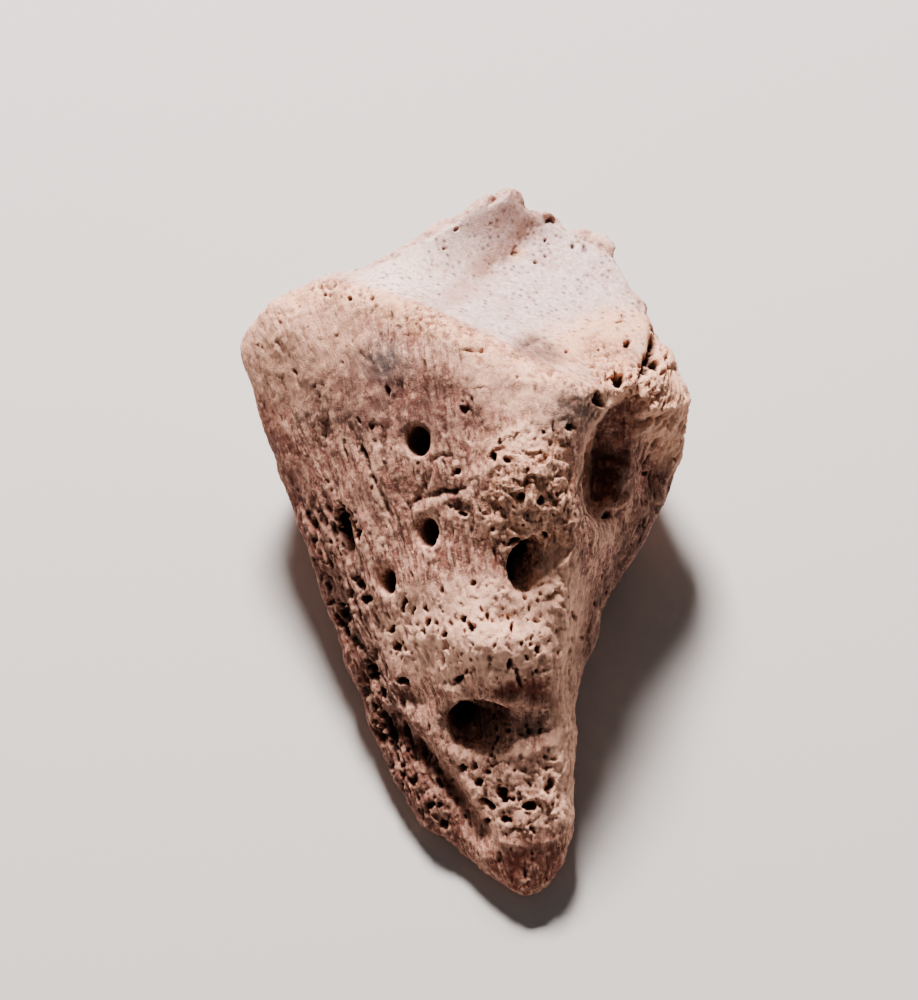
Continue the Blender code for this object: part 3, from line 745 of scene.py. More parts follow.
class Skin:
    """The bone's points, with what the weathering and the stains need to know about each."""

    def __init__(self, body):
        self.points = read_points(body)
        self.normals = read_normals(body)
        self.marks = seen(self.points)
        self.facing = smooth_step(0.0, 0.2, self.normals @ VIEW_BACK)
        fibres = along_fibres(self.points)
        self.fibres = fibres + 0.7 * strays(fibres, (3.0, 3.0, 9.0), 9.0) + 0.2 * strays(fibres, 1.2, 10.0)
        self.wobble = 0.35 * lumps(self.points, 2.2, 2.0)
        self.uneven = np.clip(0.5 + 0.8 * lumps(self.points, 4.0, 8.0, 1), 0.0, 1.0)
        self.joint = self.joint_share()

    def joint_share(self):
        """1 on the joint face, 0 off it."""
        back = (self.points[:, :2] - JOINT_CORNER) @ JOINT_BACK
        face = np.array((JOINT_SLOPE * JOINT_BACK[0], JOINT_SLOPE * JOINT_BACK[1], 1.0))
        face /= np.linalg.norm(face)
        above = self.points[:, 2] - (JOINT_HEIGHT - JOINT_SLOPE * back - JOINT_DIP)
        share = smooth_step(-0.1, 0.7, back + 0.5 * self.wobble) * smooth_step(-0.6, 0.4, above)
        share *= np.maximum(smooth_step(0.3, 0.5, self.normals @ face), self.zone("joint back"))
        return share * (1.0 - self.most("off the joint face"))

    def zone(self, name):
        return zone_share(name, self.marks, self.wobble) * self.facing

    def most(self, kind):
        """The largest share that any zone gives to each point, for one row of SHARES."""
        return np.maximum.reduce([share * self.zone(name) for name, share in SHARES[kind].items()])


def facets(places, size, seed):
    """Broken faces about size across, each tilted and raised its own way, from about -1 to 1."""
    scaled = places / size + seed * CELL_STEP
    height = np.empty(len(places))
    for i, place in enumerate(scaled.tolist()):
        middle = noise.voronoi(place)[1][0]
        own = middle * CHANCE_STEP
        height[i] = 2.4 * (Vector(place) - middle).dot(noise.noise_vector(own)) + 0.25 * noise.cell(own)
    return height


def rubble(places):
    """Worn crumbly bone: uneven lumps of several sizes with creases between them, from about -1 to 1."""
    strayed = places + 0.9 * strays(places, 1.6, 21.0)
    height = 2.2 * np.abs(lumps(strayed, 1.5, 22.0, 1)) - 0.6
    height += 1.3 * lumps(strayed, 0.8, 23.0)
    return 0.7 * height + 0.4 * lumps(places, 0.35, 24.0)


def crumbs(places):
    """Broken bone: angular crumbs of two sizes, from about -1 to 1."""
    strayed = places + 0.6 * strays(places, 1.4, 25.0)
    fine = strayed + 0.12 * strays(places, 0.5, 27.0)
    return facets(strayed, (2.0, 1.8, 1.4), 26.0) + 0.35 * facets(fine, 0.8, 28.0)


def sponge(fibres):
    """Open spongy bone: hollows of several sizes between rounded walls. Depths from 0 to about 1."""
    strayed = fibres + 0.5 * strays(fibres, 1.5, 31.0)
    _, gap, chance = cells(strayed, (0.9, 1.0, 2.8), 32.0)
    large = smooth_step(0.05, 0.5, gap) * np.clip(1.7 * chance - 0.4, 0.0, 1.0)
    _, gap, chance = cells(strayed, (0.5, 0.5, 1.1), 33.0)
    small = smooth_step(0.08, 0.4, gap) * (chance > 0.5)
    return 0.85 * large + 0.3 * small * (1.0 - large)


def pores(fibres):
    """Long pits here and there, for the sides that the picture doesn't show, from 0 to 1 deep."""
    near, _, chance = cells(fibres + 0.3 * strays(fibres, 0.8, 34.0), (1.7, 1.7, 3.4), 35.0)
    return (1.0 - smooth_step(0.12, 0.32, near)) * smooth_step(-0.2, 0.6, chance)


def veins(fibres):
    """Soft furrows that branch along the fibres, from 0 to 1 deep."""
    wide = np.abs(lumps(fibres, (1.5, 2.0, 10.0), 41.0))
    fine = np.abs(lumps(fibres, (0.8, 1.1, 5.0), 42.0, 1))
    return np.maximum(1.0 - smooth_step(0.0, 0.16, wide), 0.5 * (1.0 - smooth_step(0.0, 0.12, fine)))


def chips(points):
    """Chips broken off a rim, 0 where it is whole and about 1 deep in the worst."""
    large = smooth_step(0.05, 0.2, lumps(points, 3.4, 12.0, 1))
    small = smooth_step(0.12, 0.25, lumps(points, 1.6, 13.0, 1))
    return 0.7 * large + 0.3 * small


def strata(points):
    """Thin uneven layers that lie nearly level, from about -1 to 1."""
    return lumps(points + 0.5 * strays(points, 3.0, 45.0), (3.0, 4.0, 0.5), 46.0)


def fibre_turn(at):
    """How far the fibres are turned from upright at a place in the picture, in degrees."""
    away = at - mark(FIBRE_PIXEL)
    return math.degrees(math.atan2(-away[0], away[1]))


def random_place(zone, draw):
    """A random mark inside a patch or along a band."""
    if zone in BANDS:
        band = BANDS[zone]
        start = draw.randrange(len(band.run) - 1)
        ends = mark(band.run[start]), mark(band.run[start + 1])
        away = np.array((draw.gauss(0.0, BAND_SPREAD), draw.gauss(0.0, BAND_SPREAD))) * band.half
        return ends[0] + (ends[1] - ends[0]) * draw.random() + away
    patch = PATCHES[zone]
    angle = draw.uniform(0.0, math.tau)
    reach = math.sqrt(draw.random())
    across = patch.half[0] * reach * math.cos(angle)
    along = patch.half[1] * reach * math.sin(angle)
    cos = math.cos(math.radians(patch.turn))
    sin = math.sin(math.radians(patch.turn))
    return mark(patch.pixel) + (across * cos - along * sin, across * sin + along * cos)


def scattered_pits():
    """Every small pit: where it is, its half width and half height, its turn and its depth."""
    draw = random.Random(SCATTER_SEED)
    pits = []
    for scatter in SCATTERS:
        for _ in range(scatter.count):
            at = random_place(scatter.zone, draw)
            half = scatter.small + (scatter.large - scatter.small) * draw.random() ** 2
            stretch = draw.uniform(1.0, scatter.stretch)
            turn = fibre_turn(at) + draw.gauss(0.0, SCATTER_TURN)
            depth = half * scatter.depth * draw.uniform(*SCATTER_DEPTHS)
            pits.append((at, (half, half * stretch), turn, depth))
    return pits


def pressed_pits(marks, ragged):
    """How deep the pits are at each mark, with the slight rims that stand round them."""
    depth = np.zeros(len(marks))
    named = [(mark(pit.pixel), pit.half, pit.turn, pit.depth) for pit in PITS.values()]
    for at, half, turn, deep in named + scattered_pits():
        chosen = np.flatnonzero(np.abs(marks - at).max(1) < PIT_REACH * max(half))
        across, along = turned(marks[chosen] - at, turn)
        reach = np.hypot(across / half[0], along / half[1]) + ragged[chosen]
        bowl = deep * (1.0 - smooth_step(*PIT_BOWL, reach))
        rim = PIT_RIM_HEIGHT * np.exp(-(((reach - PIT_RIM_AT) / PIT_RIM_HALF) ** 2))
        depth[chosen] = np.maximum(depth[chosen], bowl) - rim
    return depth


def pressed_lines(marks, ragged):
    """How deep the lines are at each mark. Each one fades towards its ends."""
    depth = np.zeros(len(marks))
    for line in LINES.values():
        distance, passed = distance_to_run(marks, line.run)
        taper = np.sqrt(np.sin(math.pi * np.clip(passed, 0.02, 0.98)))
        reach = distance / line.half
        depth += line.depth * taper * (1.0 + 1.5 * ragged) * np.exp(-((reach + ragged) ** 2))
    return depth


def pushed(points):
    """How far the soft pushes move each point."""
    marks = seen(points)
    moves = np.zeros_like(points)
    for push in PUSHES.values():
        reach = np.linalg.norm(marks - mark(push.pixel), axis=1) / push.reach
        way = push.way[0] * VIEW_RIGHT + push.way[1] * VIEW_UP
        moves += np.exp(-(reach**2))[:, None] * way
    return moves


def push_outline(body, places):
    """Pushes the outline and the rims to where they belong, and the canals' places with them."""
    points = read_points(body)
    write_points(body, points + pushed(points))
    for name, place in places.items():
        at = np.array((place.translation / MM,))
        places[name] = Matrix.Translation(Vector(pushed(at)[0]) * MM) @ place


def broad_forms(marks):
    """How far the broad forms stand out at each mark."""
    height = np.zeros(len(marks))
    for form in FORMS.values():
        across, along = turned(marks - mark(form.pixel), form.turn)
        reach = np.hypot(across / form.half[0], along / form.half[1])
        height += form.height * (1.0 - smooth_step(0.25, 1.3, reach))
    return height


def copy_solid(sizes):
    """A finely and evenly meshed copy of the solid, with the solid's flat facets smoothed away."""
    body = add_object(BONE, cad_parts[NODE].data.copy())
    body.data.name = BONE
    body.data.materials.clear()
    pick(body)
    bpy.ops.object.mode_set(mode="EDIT")
    bpy.ops.mesh.select_all(action="SELECT")
    bpy.ops.mesh.remove_doubles(threshold=0.001 * MM)
    bpy.ops.object.mode_set(mode="OBJECT")
    apply_modifier(body, "even faces", "REMESH", mode="VOXEL", voxel_size=1.5 * sizes.mesh_step)
    apply_modifier(body, "relax", "SMOOTH", factor=0.5, iterations=10)
    return body


def mouth_rays(canal):
    """Where the rays that find a canal's mouth start, and which way each goes."""
    ring = canal.half_length + MOUTH_RING
    for i in range(MOUTH_RAYS):
        angle = math.tau * i / MOUTH_RAYS
        right = ring * math.cos(angle)
        up = ring * math.sin(angle)
        if len(canal.mouth) == 2:
            at = mark(canal.mouth) + (right, up)
            through = VIEW_TARGET + VIEW_RIGHT * at[0] + VIEW_UP * at[1]
            yield Vector(VIEW_EYE), Vector(through - VIEW_EYE).normalized()
        else:
            place = turned_frame(canal)
            out = place @ Vector((right, up, MOUTH_START))
            yield Vector(canal.mouth) + out, Vector(canal.into).normalized()


def turned_frame(canal):
    """A turn that takes Z to the way out of a canal and X along its length."""
    out = -Vector(canal.into).normalized()
    side = out.cross(Vector(canal.along)).normalized()
    return Matrix((side.cross(out), side, out)).transposed().to_4x4()


def canal_place(surface, canal):
    """The middle of a canal's mouth and its turn, read on a ring so that a canal already there isn't felt."""
    hits = [surface.ray_cast(start * MM, way)[0] for start, way in mouth_rays(canal)]
    hits = [hit for hit in hits if hit]
    return Matrix.Translation(sum(hits, Vector()) / len(hits)) @ turned_frame(canal)


def cutter_points(ball, canal):
    """A round ball's points shaped into a canal's cutter, uneven and pointed as the canal is."""
    width = canal.half_width * np.sqrt(np.clip(1.0 - ball[:, 0] ** 2, 0.0, 1.0)) ** canal.point
    deep = np.where(ball[:, 2] > 0.0, CUTTER_STAND * canal.depth, canal.depth)
    points = ball * np.stack((np.full(len(ball), canal.half_length), width, deep), 1)
    return points + RIM_UNEVEN * canal.half_width * strays(points, 1.6, 3.0)


def cut_canals(body):
    """Cuts each canal with a shaped ball and gives back where each one is."""
    surface = BVHTree.FromObject(body, bpy.context.evaluated_depsgraph_get())
    places = {}
    for name, canal in CANALS.items():
        places[name] = canal_place(surface, canal)
        bpy.ops.object.select_all(action="DESELECT")
        bpy.ops.mesh.primitive_uv_sphere_add(segments=32, ring_count=24, radius=1.0)
        cutter = bpy.context.object
        cutter.name = name
        points = read_points(cutter) * MM
        write_points(cutter, cutter_points(points, canal))
        cutter.matrix_world = places[name]
        apply_modifier(body, name, "BOOLEAN", operation="DIFFERENCE", object=cutter, solver="EXACT")
        bpy.data.objects.remove(cutter, do_unlink=True)
    return places


def refine_front(body, sizes):
    """Evens out the faces again and splits those that the camera sees."""
    apply_modifier(body, "even faces", "REMESH", mode="VOXEL", voxel_size=sizes.mesh_step)
    apply_modifier(body, "relax", "SMOOTH", factor=0.5, iterations=1)
    facing = read_normals(body) @ VIEW_BACK > 0.05
    corners = np.empty(len(body.data.loops), int)
    body.data.loops.foreach_get("vertex_index", corners)
    starts = np.empty(len(body.data.polygons), int)
    body.data.polygons.foreach_get("loop_start", starts)
    chosen = np.add.reduceat(facing[corners], starts) > 1
    pick(body)
    bpy.ops.object.mode_set(mode="EDIT")
    bpy.ops.mesh.select_mode(type="FACE")
    bpy.ops.mesh.select_all(action="DESELECT")
    bpy.ops.object.mode_set(mode="OBJECT")
    body.data.polygons.foreach_set("select", chosen)
    bpy.ops.object.mode_set(mode="EDIT")
    bpy.ops.mesh.subdivide(number_cuts=1, smoothness=0.0)
    bpy.ops.object.mode_set(mode="OBJECT")


def weather(body, places, sizes):
    """Swells, fibres, furrows, crumbled and spongy zones, then the named marks and the scattered pits."""
    skin = Skin(body)
    calm = 1.0 - 0.9 * canal_shares(skin.points, places)[0]
    rough = 1.0 - skin.joint
    rubbly = rough * np.maximum(skin.most("rubbly"), 0.06 + 0.12 * skin.uneven)
    broken = rough * skin.most("broken")
    margin = 0.65 * skin.zone("left margin") * (1.0 - 0.8 * skin.zone("toe block"))
    open_spots = 0.35 * smooth_step(0.7, 1.0, skin.uneven) * (1.0 - 0.8 * skin.zone("front"))
    spongy = rough * np.maximum.reduce([skin.most("spongy"), margin, open_spots])
    fibrous = rough * np.maximum(skin.most("fibrous"), 0.35 + 0.65 * skin.uneven)
    fibrous *= 1.0 - 0.4 * np.maximum(rubbly, skin.zone("shoulder"))
    layered = skin.most("layered")

    height = sizes.swells / MM * lumps(skin.points, 5.0, 1.0) * rough
    height += 1.3 * sizes.fibres / MM * lumps(skin.fibres, (1.0, 1.3, 9.0), 2.0, 1) * fibrous
    height += sizes.fibres / MM * lumps(skin.fibres, (0.4, 0.6, 4.0), 3.0) * fibrous
    height += 0.05 * lumps(skin.points, 0.5, 6.0) * (0.3 + 0.7 * rough)
    height -= sizes.veins / MM * veins(skin.fibres) * fibrous
    slits = lumps(skin.fibres, (0.6, 1.0, 3.5), 5.0, 1)
    height -= 0.3 * smooth_step(0.42, 0.65, slits) * fibrous
    height += sizes.rubble / MM * where(rubbly, rubble, skin.points)
    height += sizes.rubble / MM * where(broken, crumbs, skin.points)
    height -= sizes.sponge / MM * where(spongy, sponge, skin.fibres)
    height += 0.3 * where(layered, strata, skin.points)
    height -= 0.5 * where(rough * (1.0 - skin.facing), pores, skin.fibres)
    height -= 0.8 * where(zone_share("joint rim", skin.marks), chips, skin.points)
    height += 0.04 * where(skin.zone("tan rise"), rubble, skin.points) * skin.joint
    moved = skin.points + skin.normals * (height * calm)[:, None]
    outward = skin.normals + VIEW_BACK
    outward /= np.linalg.norm(outward, axis=1)[:, None]
    moved += outward * (broad_forms(skin.marks) * skin.facing)[:, None]

    ragged = 0.5 * lumps(skin.points, 0.6, 14.0)
    drifted = skin.marks + 0.2 * strays(skin.points, 1.1, 15.0)[:, :2]
    inward = -0.6 * skin.normals - 0.4 * VIEW_BACK
    inward /= np.linalg.norm(inward, axis=1)[:, None]
    pressed = sizes.pits * pressed_pits(drifted, ragged) + pressed_lines(drifted, ragged)
    pressed *= skin.facing * calm
    moved += inward * pressed[:, None]
    moved[:, 2] = np.maximum(moved[:, 2], 0.0)
    write_points(body, moved)
    keep(body, "pressed", pressed)


def lighten(body, sizes):
    triangles = sum(len(face.vertices) - 2 for face in body.data.polygons)
    apply_modifier(body, "fewer faces", "DECIMATE", ratio=sizes.triangles / triangles)


def averaged(values, edges, repeats):
    """Each point's value averaged with its neighbours', again and again."""
    count = len(values)
    ends = np.concatenate((edges[:, 0], edges[:, 1]))
    others = np.concatenate((edges[:, 1], edges[:, 0]))
    neighbours = np.maximum(np.bincount(ends, minlength=count), 1)
    for _ in range(repeats):
        sums = [np.bincount(ends, weights=column[others], minlength=count) for column in values.T]
        values = 0.5 * values + 0.5 * np.stack(sums, 1) / neighbours[:, None]
    return values


def keep(body, name, values):
    """Keeps one number, or three, for each point where the material can read it."""
    kind = "FLOAT" if values.ndim == 1 else "FLOAT_VECTOR"
    attribute = body.data.attributes.new(name, kind, "POINT")
    attribute.data.foreach_set("value" if kind == "FLOAT" else "vector", values.ravel())


def canal_shares(points, places):
    """1 in and round a smooth canal's mouth and 0 away from it, then 1 deep in any canal and 0 outside."""
    mouths = np.zeros(len(points))
    depths = np.zeros(len(points))
    for name, place in places.items():
        canal = CANALS[name]
        back = np.array(place.inverted())
        local = (points * MM @ back[:3, :3].T + back[:3, 3]) / MM
        within = (local[:, 2] < CANAL_STAND) * (-local[:, 2] < CANAL_PAST * canal.depth)
        reach = np.hypot(local[:, 0] / canal.half_length, local[:, 1] / canal.half_width)
        dark = DARK_DEPTHS
        if name in SMOOTH_CANALS:
            mouths = np.maximum(mouths, within * (1.0 - smooth_step(*SMOOTH_RIM, reach)))
            dark = SMOOTH_DARK_DEPTHS
        inside = within * (1.0 - smooth_step(*CANAL_EDGE, reach))
        # Deep in a canal its colour is painted shade.
        depths = np.maximum(depths, inside * smooth_step(*dark, -local[:, 2]))
    return mouths, depths


def note_surface(body, places):
    """Keeps ridges, recesses, stains and zones of painted shade and highlight for the material, and gives
    back the smoothed normals.
    """
    skin = Skin(body)
    edges = np.empty(len(body.data.edges) * 2, int)
    body.data.edges.foreach_get("vertices", edges)
    edges = edges.reshape(-1, 2)
    near = averaged(skin.points, edges, 10)
    broad = averaged(near, edges, 60)
    smooth_normals = averaged(skin.normals, edges, 40)
    smooth_normals /= np.linalg.norm(smooth_normals, axis=1)[:, None]
    fine_height = ((skin.points - near) * smooth_normals).sum(1)
    broad_height = ((skin.points - broad) * smooth_normals).sum(1)
    canals = canal_shares(skin.points, places)[1]
    # Recesses are darkened: dirt, and painted shade.
    recess = 0.75 * smooth_step(0.03, 0.2, -fine_height) + smooth_step(0.15, 0.9, -broad_height)
    pressed = np.empty(len(skin.points))
    body.data.attributes["pressed"].data.foreach_get("value", pressed)
    # Deep pressed pits are painted as dark as the canals: painted shade.
    sunk = smooth_step(0.2, 0.7, pressed) * smooth_step(-0.05, 0.1, -broad_height)
    canals = np.maximum(canals, 0.9 * sunk)
    # Crests are painted paler: wear, and painted highlight.
    keep(body, "ridge", smooth_step(0.01, 0.09, fine_height) * smooth_step(-0.3, 0.1, broad_height))
    keep(body, "recess", np.clip(recess, 0.0, 1.0) * (1.0 - 0.5 * skin.joint))
    keep(body, "joint", skin.joint)
    keep(body, "canal", canals)
    keep(body, "fibre", skin.fibres)
    rim = 4.0 * skin.joint * (1.0 - skin.joint)
    rim = np.maximum(rim, 0.7 * zone_share("joint rim", skin.marks, skin.wobble))
    keep(body, "rim", rim)
    unseen = 0.35 * (1.0 - skin.facing)
    more = {
        "tan": np.maximum(0.5 * rim, unseen * smooth_step(0.5, 0.9, skin.uneven)),
        "rust": unseen * smooth_step(0.6, 0.2, skin.uneven),
        # Painted shadow under the joint edge, and a darker tone in the middle.
        "dark": skin.most("dark off the joint face") * (1.0 - skin.joint),
    }
    for name in STAINS_AND_PAINTED_LIGHT:
        keep(body, name, np.maximum(skin.most(name), more.get(name, 0.0)))
    return smooth_normals


def lay_out_charts(body, smooth_normals):
    """Lays the surface out flat, one chart for each direction that it faces, all to one scale."""
    ways = np.array([Vector(chart.facing).normalized() for chart in CHARTS])
    corners = np.empty(len(body.data.loops), int)
    body.data.loops.foreach_get("vertex_index", corners)
    faces = corners.reshape(-1, 3)
    chosen = (smooth_normals[faces].mean(1) @ ways.T).argmax(1)
    points = read_points(body)
    flat = np.zeros((len(faces), 3, 2))
    left, bottom, row = CHART_GAP, CHART_GAP, 0.0
    for i, chart in enumerate(CHARTS):
        out = Vector(chart.facing).normalized()
        right = Vector(chart.up).cross(out).normalized()
        up = out.cross(right)
        mine = chosen == i
        places = points[faces[mine]] @ np.array((right, up)).T
        low = places.min((0, 1))
        size = places.max((0, 1)) - low
        if left + size[0] > CHART_ROW:
            left = CHART_GAP
            bottom += row + CHART_GAP
            row = 0.0
        flat[mine] = places - low + (left, bottom)
        left += size[0] + CHART_GAP
        row = max(row, size[1])
    side = max(CHART_ROW, bottom + row) + CHART_GAP
    layer = body.data.uv_layers.new(name="OFBake")
    layer.data.foreach_set("uv", (flat / side).ravel())


class Paint:
    """Adds nodes to a node tree and links them, one call for each node."""

    def __init__(self, tree):
        self.tree = tree

    def node(self, kind, settings=None, **inputs):
        """A node with its settings, whose inputs are values or the outputs that feed them."""
        node = self.tree.nodes.new(kind)
        for key, value in (settings or {}).items():
            setattr(node, key, value)
        for name, value in inputs.items():
            self.feed(node.inputs[name.replace("_", " ")], value)
        return node

    def feed(self, socket, value):
        if isinstance(value, bpy.types.NodeSocket):
            self.tree.links.new(value, socket)
        else:
            socket.default_value = value

    def calculate(self, operation, first, second):
        node = self.node("ShaderNodeMath", {"operation": operation, "use_clamp": True})
        self.feed(node.inputs[0], first)
        self.feed(node.inputs[1], second)
        return node.outputs[0]

    def over(self, below, above, share):
        """One colour laid over another."""
        node = self.node("ShaderNodeMix", {"data_type": "RGBA"})
        self.feed(node.inputs[0], share)
        self.feed(node.inputs[6], below)
        self.feed(node.inputs[7], above)
        return node.outputs[2]

    def kept(self, name, output="Fac"):
        return self.node("ShaderNodeAttribute", {"attribute_name": name}).outputs[output]

    def group(self, tree, **inputs):
        return self.node("ShaderNodeGroup", {"node_tree": tree}, **inputs).outputs[0]

    def step(self, value, low, high):
        """0 up to one level of a value and 1 past the other, with a soft step between them."""
        kind = {"interpolation_type": "SMOOTHSTEP"}
        return self.node("ShaderNodeMapRange", kind, Value=value, From_Min=low, From_Max=high).outputs[0]

    def between(self, share, ends):
        """A value that goes from one end to the other as the share goes from 0 to 1."""
        return self.node("ShaderNodeMapRange", Value=share, To_Min=ends[0], To_Max=ends[1]).outputs[0]


def new_mask_group(name, **levels):
    """A group for a mask: its paint, its inputs, its place divided by its size, and where the mask goes."""
    tree = bpy.data.node_groups.new(name, "ShaderNodeTree")
    for title, value in (("Place", (0.0, 0.0, 0.0)), ("Size", (1.0, 1.0, 1.0)), *levels.items()):
        kind = "NodeSocketVector" if isinstance(value, tuple) else "NodeSocketFloat"
        tree.interface.new_socket(title, in_out="INPUT", socket_type=kind).default_value = value
    tree.interface.new_socket("Mask", in_out="OUTPUT", socket_type="NodeSocketFloat")
    paint = Paint(tree)
    given = paint.node("NodeGroupInput").outputs
    scaled = paint.node("ShaderNodeVectorMath", {"operation": "DIVIDE"})
    paint.feed(scaled.inputs[0], given["Place"])
    paint.feed(scaled.inputs[1], given["Size"])
    return paint, given, scaled.outputs[0], paint.node("NodeGroupOutput").inputs["Mask"]


def mottle_group():
    """Blotches of a size that may differ along each axis, as a mask between two levels of soft noise."""
    paint, given, scaled, mask = new_mask_group("mottle", Detail=3.0, Low=0.4, High=0.6)
    soft = paint.node("ShaderNodeTexNoise", Vector=scaled, Scale=1.0, Detail=given["Detail"], Roughness=0.6)
    paint.feed(mask, paint.step(soft.outputs[0], given["Low"], given["High"]))
    return paint.tree


def speck_group():
    """Small round specks, some missing, as a mask."""
    paint, given, scaled, mask = new_mask_group("specks", Reach=0.3, Share=0.5)
    spots = paint.node("ShaderNodeTexVoronoi", Vector=scaled, Scale=1.0)
    chance = paint.node("ShaderNodeSeparateColor", Color=spots.outputs["Color"]).outputs[0]
    present = paint.calculate("LESS_THAN", chance, given["Share"])
    round_spot = paint.step(spots.outputs["Distance"], given["Reach"], 0.0)
    paint.feed(mask, paint.calculate("MULTIPLY", present, round_spot))
    return paint.tree


def opaque(colour):
    return (*colour, 1.0)


def bone_material(colours):
    """The bone and its joint face in layers of colour, some of them painted shade and highlight, the layers
    over both, and the fine grain.
    """
    material = bpy.data.materials.new("fossil bone")
    material.use_nodes = True
    paint = Paint(material.node_tree)
    shader = material.node_tree.nodes["Principled BSDF"]
    mottle = mottle_group()
    metres = paint.node("ShaderNodeTexCoord").outputs["Object"]
    scaled = paint.node("ShaderNodeVectorMath", {"operation": "SCALE"}, Vector=metres, Scale=1.0 / MM)
    place = scaled.outputs[0]
    fibre = paint.kept("fibre", "Vector")
    joint = paint.kept("joint")

    def times(first, second):
        return paint.calculate("MULTIPLY", first, second)

    def blotches(size, low, high, detail):
        along = fibre if isinstance(size, tuple) else place
        size = size if isinstance(size, tuple) else (size, size, size)
        return paint.group(mottle, Place=along, Size=size, Low=low, High=high, Detail=detail)

    def laid(colour, layers):
        """A colour with some layers over it, the first of them lowest."""
        for layer in layers:
            share = layer.share
            if layer.size:
                share = times(blotches(layer.size, layer.low, layer.high, layer.detail), share)
            share = times(masks[layer.mask], share)
            colour = paint.over(colour, opaque(getattr(colours, layer.colour)), share)
        return colour

    masks = {name: paint.kept(name) for name in (*STAINS_AND_PAINTED_LIGHT, "ridge", "recess", "rim", "canal")}
    masks["everywhere"] = 1.0
    masks["off the pale"] = paint.calculate("SUBTRACT", STREAKS, times(masks["pale"], STREAKS_LESS))
    # Recesses are darkened by dirt and painted shade, less where the bone is pale.
    dirt_and_shade = paint.calculate("SUBTRACT", DIRT_AND_SHADE, times(masks["pale"], DIRT_AND_SHADE_LESS))
    masks["dirt and painted shade"] = times(masks["recess"], dirt_and_shade)
    spacing = (FLECK_SPACING, FLECK_SPACING, FLECK_SPACING)
    masks["flecks"] = paint.group(
        speck_group(), Place=place, Size=spacing, Reach=FLECK_REACH, Share=FLECK_SHARE
    )
    bone = laid(opaque(colours.bone), BONE_LAYERS)
    face = laid(opaque(colours.joint), JOINT_LAYERS)
    paint.feed(shader.inputs["Base Color"], laid(paint.over(bone, face, joint), TOP_LAYERS))

    grain = blotches(0.16, 0.2, 0.8, 4.0)
    threads = blotches((0.12, 0.2, 1.6), 0.2, 0.8, 3.0)
    threads = times(threads, paint.between(joint, THREAD_SHARES))
    relief = paint.calculate("ADD", times(grain, GRAIN_SHARE), threads)
    bump = paint.node("ShaderNodeBump", Strength=GRAIN_STRENGTH, Distance=GRAIN_DEPTH * MM, Height=relief)
    paint.feed(shader.inputs["Normal"], bump.outputs[0])
    paint.feed(shader.inputs["Roughness"], paint.between(joint, DULLNESS))
    shader.inputs["Specular IOR Level"].default_value = SHINE
    return material


def make_bone(sizes, colours):
    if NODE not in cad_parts:
        raise RuntimeError("the packed model has no node named " + NODE)
    noise.seed_set(NOISE_SEED)
    body = copy_solid(sizes)
    places = cut_canals(body)
    push_outline(body, places)
    refine_front(body, sizes)
    weather(body, places, sizes)
    lighten(body, sizes)
    apply_modifier(body, "triangles", "TRIANGULATE")
    lay_out_charts(body, note_surface(body, places))
    pick(body)
    bpy.ops.object.shade_smooth()
    body.data.materials.append(bone_material(colours))
    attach(body, "root")
    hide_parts(NODE)


def make_camera():
    lens = bpy.data.cameras.new("camera")
    lens.sensor_width = SENSOR
    lens.lens = LENS
    lens.clip_start = NEAREST_SEEN * MM
    camera = add_object("camera", lens)
    camera.location = Vector(VIEW_EYE) * MM
    camera.rotation_euler = (math.pi / 2 - VIEW_RISE, 0.0, 0.0)
    bpy.context.scene.camera = camera


def make_floor(studio):
    bpy.ops.object.select_all(action="DESELECT")
    bpy.ops.mesh.primitive_plane_add(size=FLOOR_WIDTH * MM, location=(0.0, 0.0, -FLOOR_DROP * MM))
    floor = bpy.context.object
    floor.name = "floor"
    paint = bpy.data.materials.new("pale floor")
    paint.use_nodes = True
    shader = paint.node_tree.nodes["Principled BSDF"]
    shader.inputs["Base Color"].default_value = opaque(studio.floor)
    shader.inputs["Roughness"].default_value = FLOOR_ROUGHNESS
    floor.data.materials.append(paint)


def make_light(studio):
    lamp = bpy.data.lights.new("key light", "AREA")
    lamp.energy = studio.key_power
    lamp.size = studio.key_size
    lamp.color = LAMP_COLOUR
    key = add_object("key light", lamp)
    key.location = studio.key_place
    key.rotation_mode = "QUATERNION"
    key.rotation_quaternion = Vector(studio.key_place).to_track_quat("Z", "Y")
    world = bpy.data.worlds.new("studio")
    world.use_nodes = True
    background = world.node_tree.nodes["Background"]
    background.inputs["Color"].default_value = (1.0, 1.0, 1.0, 1.0)
    background.inputs["Strength"].default_value = studio.fill
    bpy.context.scene.world = world


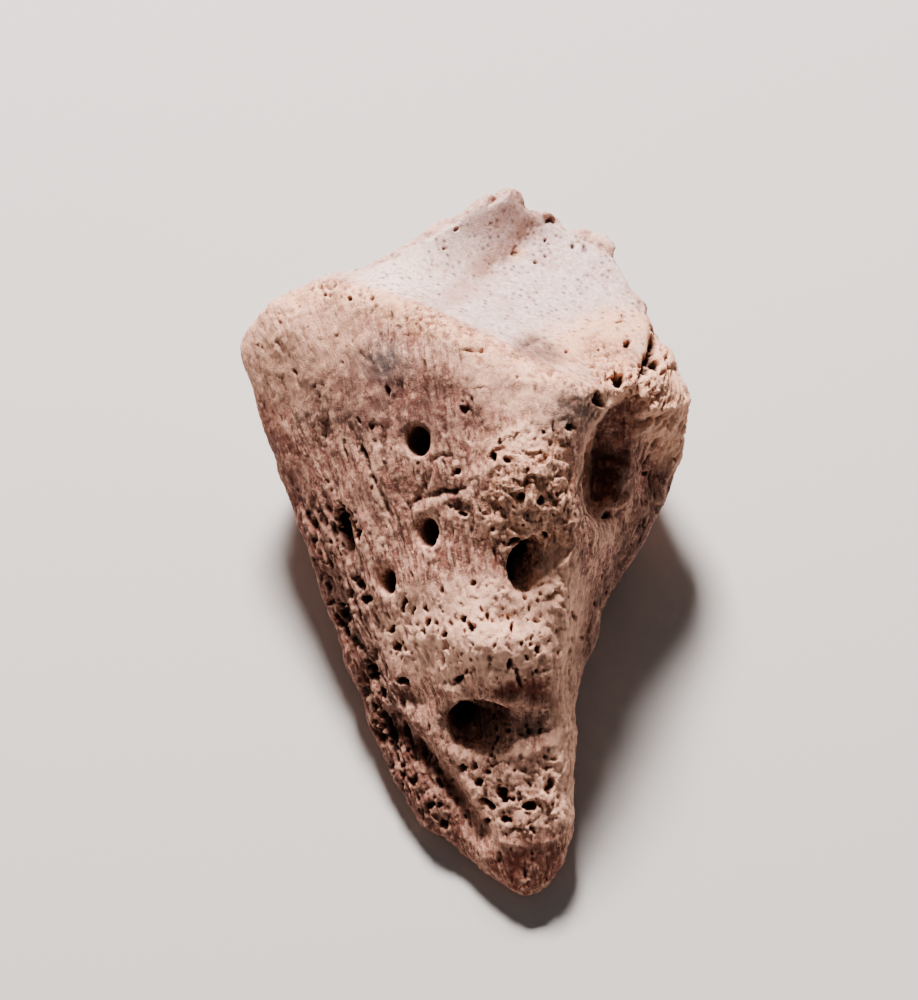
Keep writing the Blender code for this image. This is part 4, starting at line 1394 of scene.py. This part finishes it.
class HOOFBONE_OT_make_bone(bpy.types.Operator):
    """Makes the weathered bone that stands for the plain solid"""

    bl_idname = "hoofbone.make_bone"
    bl_label = "Weathered bone"

    def execute(self, context):
        make_bone(context.scene.hoof_bone_sizes, context.scene.hoof_bone_colours)
        return {"FINISHED"}


class HOOFBONE_OT_make_stage(bpy.types.Operator):
    """Sets up the camera, the pale floor and the light"""

    bl_idname = "hoofbone.make_stage"
    bl_label = "Studio"

    def execute(self, context):
        studio = context.scene.hoof_bone_studio
        make_camera()
        make_floor(studio)
        make_light(studio)
        return {"FINISHED"}


class HOOFBONE_PT_panel(bpy.types.Panel):
    """Lists the bone's and the studio's settings and operators"""

    bl_idname = "HOOFBONE_PT_panel"
    bl_label = "Hoof bone"
    bl_space_type = "VIEW_3D"
    bl_region_type = "UI"
    bl_category = "Hoof bone"

    def draw(self, context):
        scene = context.scene
        for settings in (scene.hoof_bone_sizes, scene.hoof_bone_colours):
            for name in settings.__annotations__:
                self.layout.prop(settings, name)
        self.layout.operator(HOOFBONE_OT_make_bone.bl_idname)
        for name in scene.hoof_bone_studio.__annotations__:
            self.layout.prop(scene.hoof_bone_studio, name)
        self.layout.operator(HOOFBONE_OT_make_stage.bl_idname)


CLASSES = (
    HoofBoneSizes,
    HoofBoneColours,
    HoofBoneStudio,
    HOOFBONE_OT_make_bone,
    HOOFBONE_OT_make_stage,
    HOOFBONE_PT_panel,
)


def register():
    for cls in CLASSES:
        bpy.utils.register_class(cls)
    bpy.types.Scene.hoof_bone_sizes = PointerProperty(type=HoofBoneSizes)
    bpy.types.Scene.hoof_bone_colours = PointerProperty(type=HoofBoneColours)
    bpy.types.Scene.hoof_bone_studio = PointerProperty(type=HoofBoneStudio)


def unregister():
    del bpy.types.Scene.hoof_bone_studio
    del bpy.types.Scene.hoof_bone_colours
    del bpy.types.Scene.hoof_bone_sizes
    for cls in reversed(CLASSES):
        bpy.utils.unregister_class(cls)


def main():
    register()
    bpy.ops.hoofbone.make_bone()
    bpy.ops.hoofbone.make_stage()


if __name__ == "__main__":
    main()
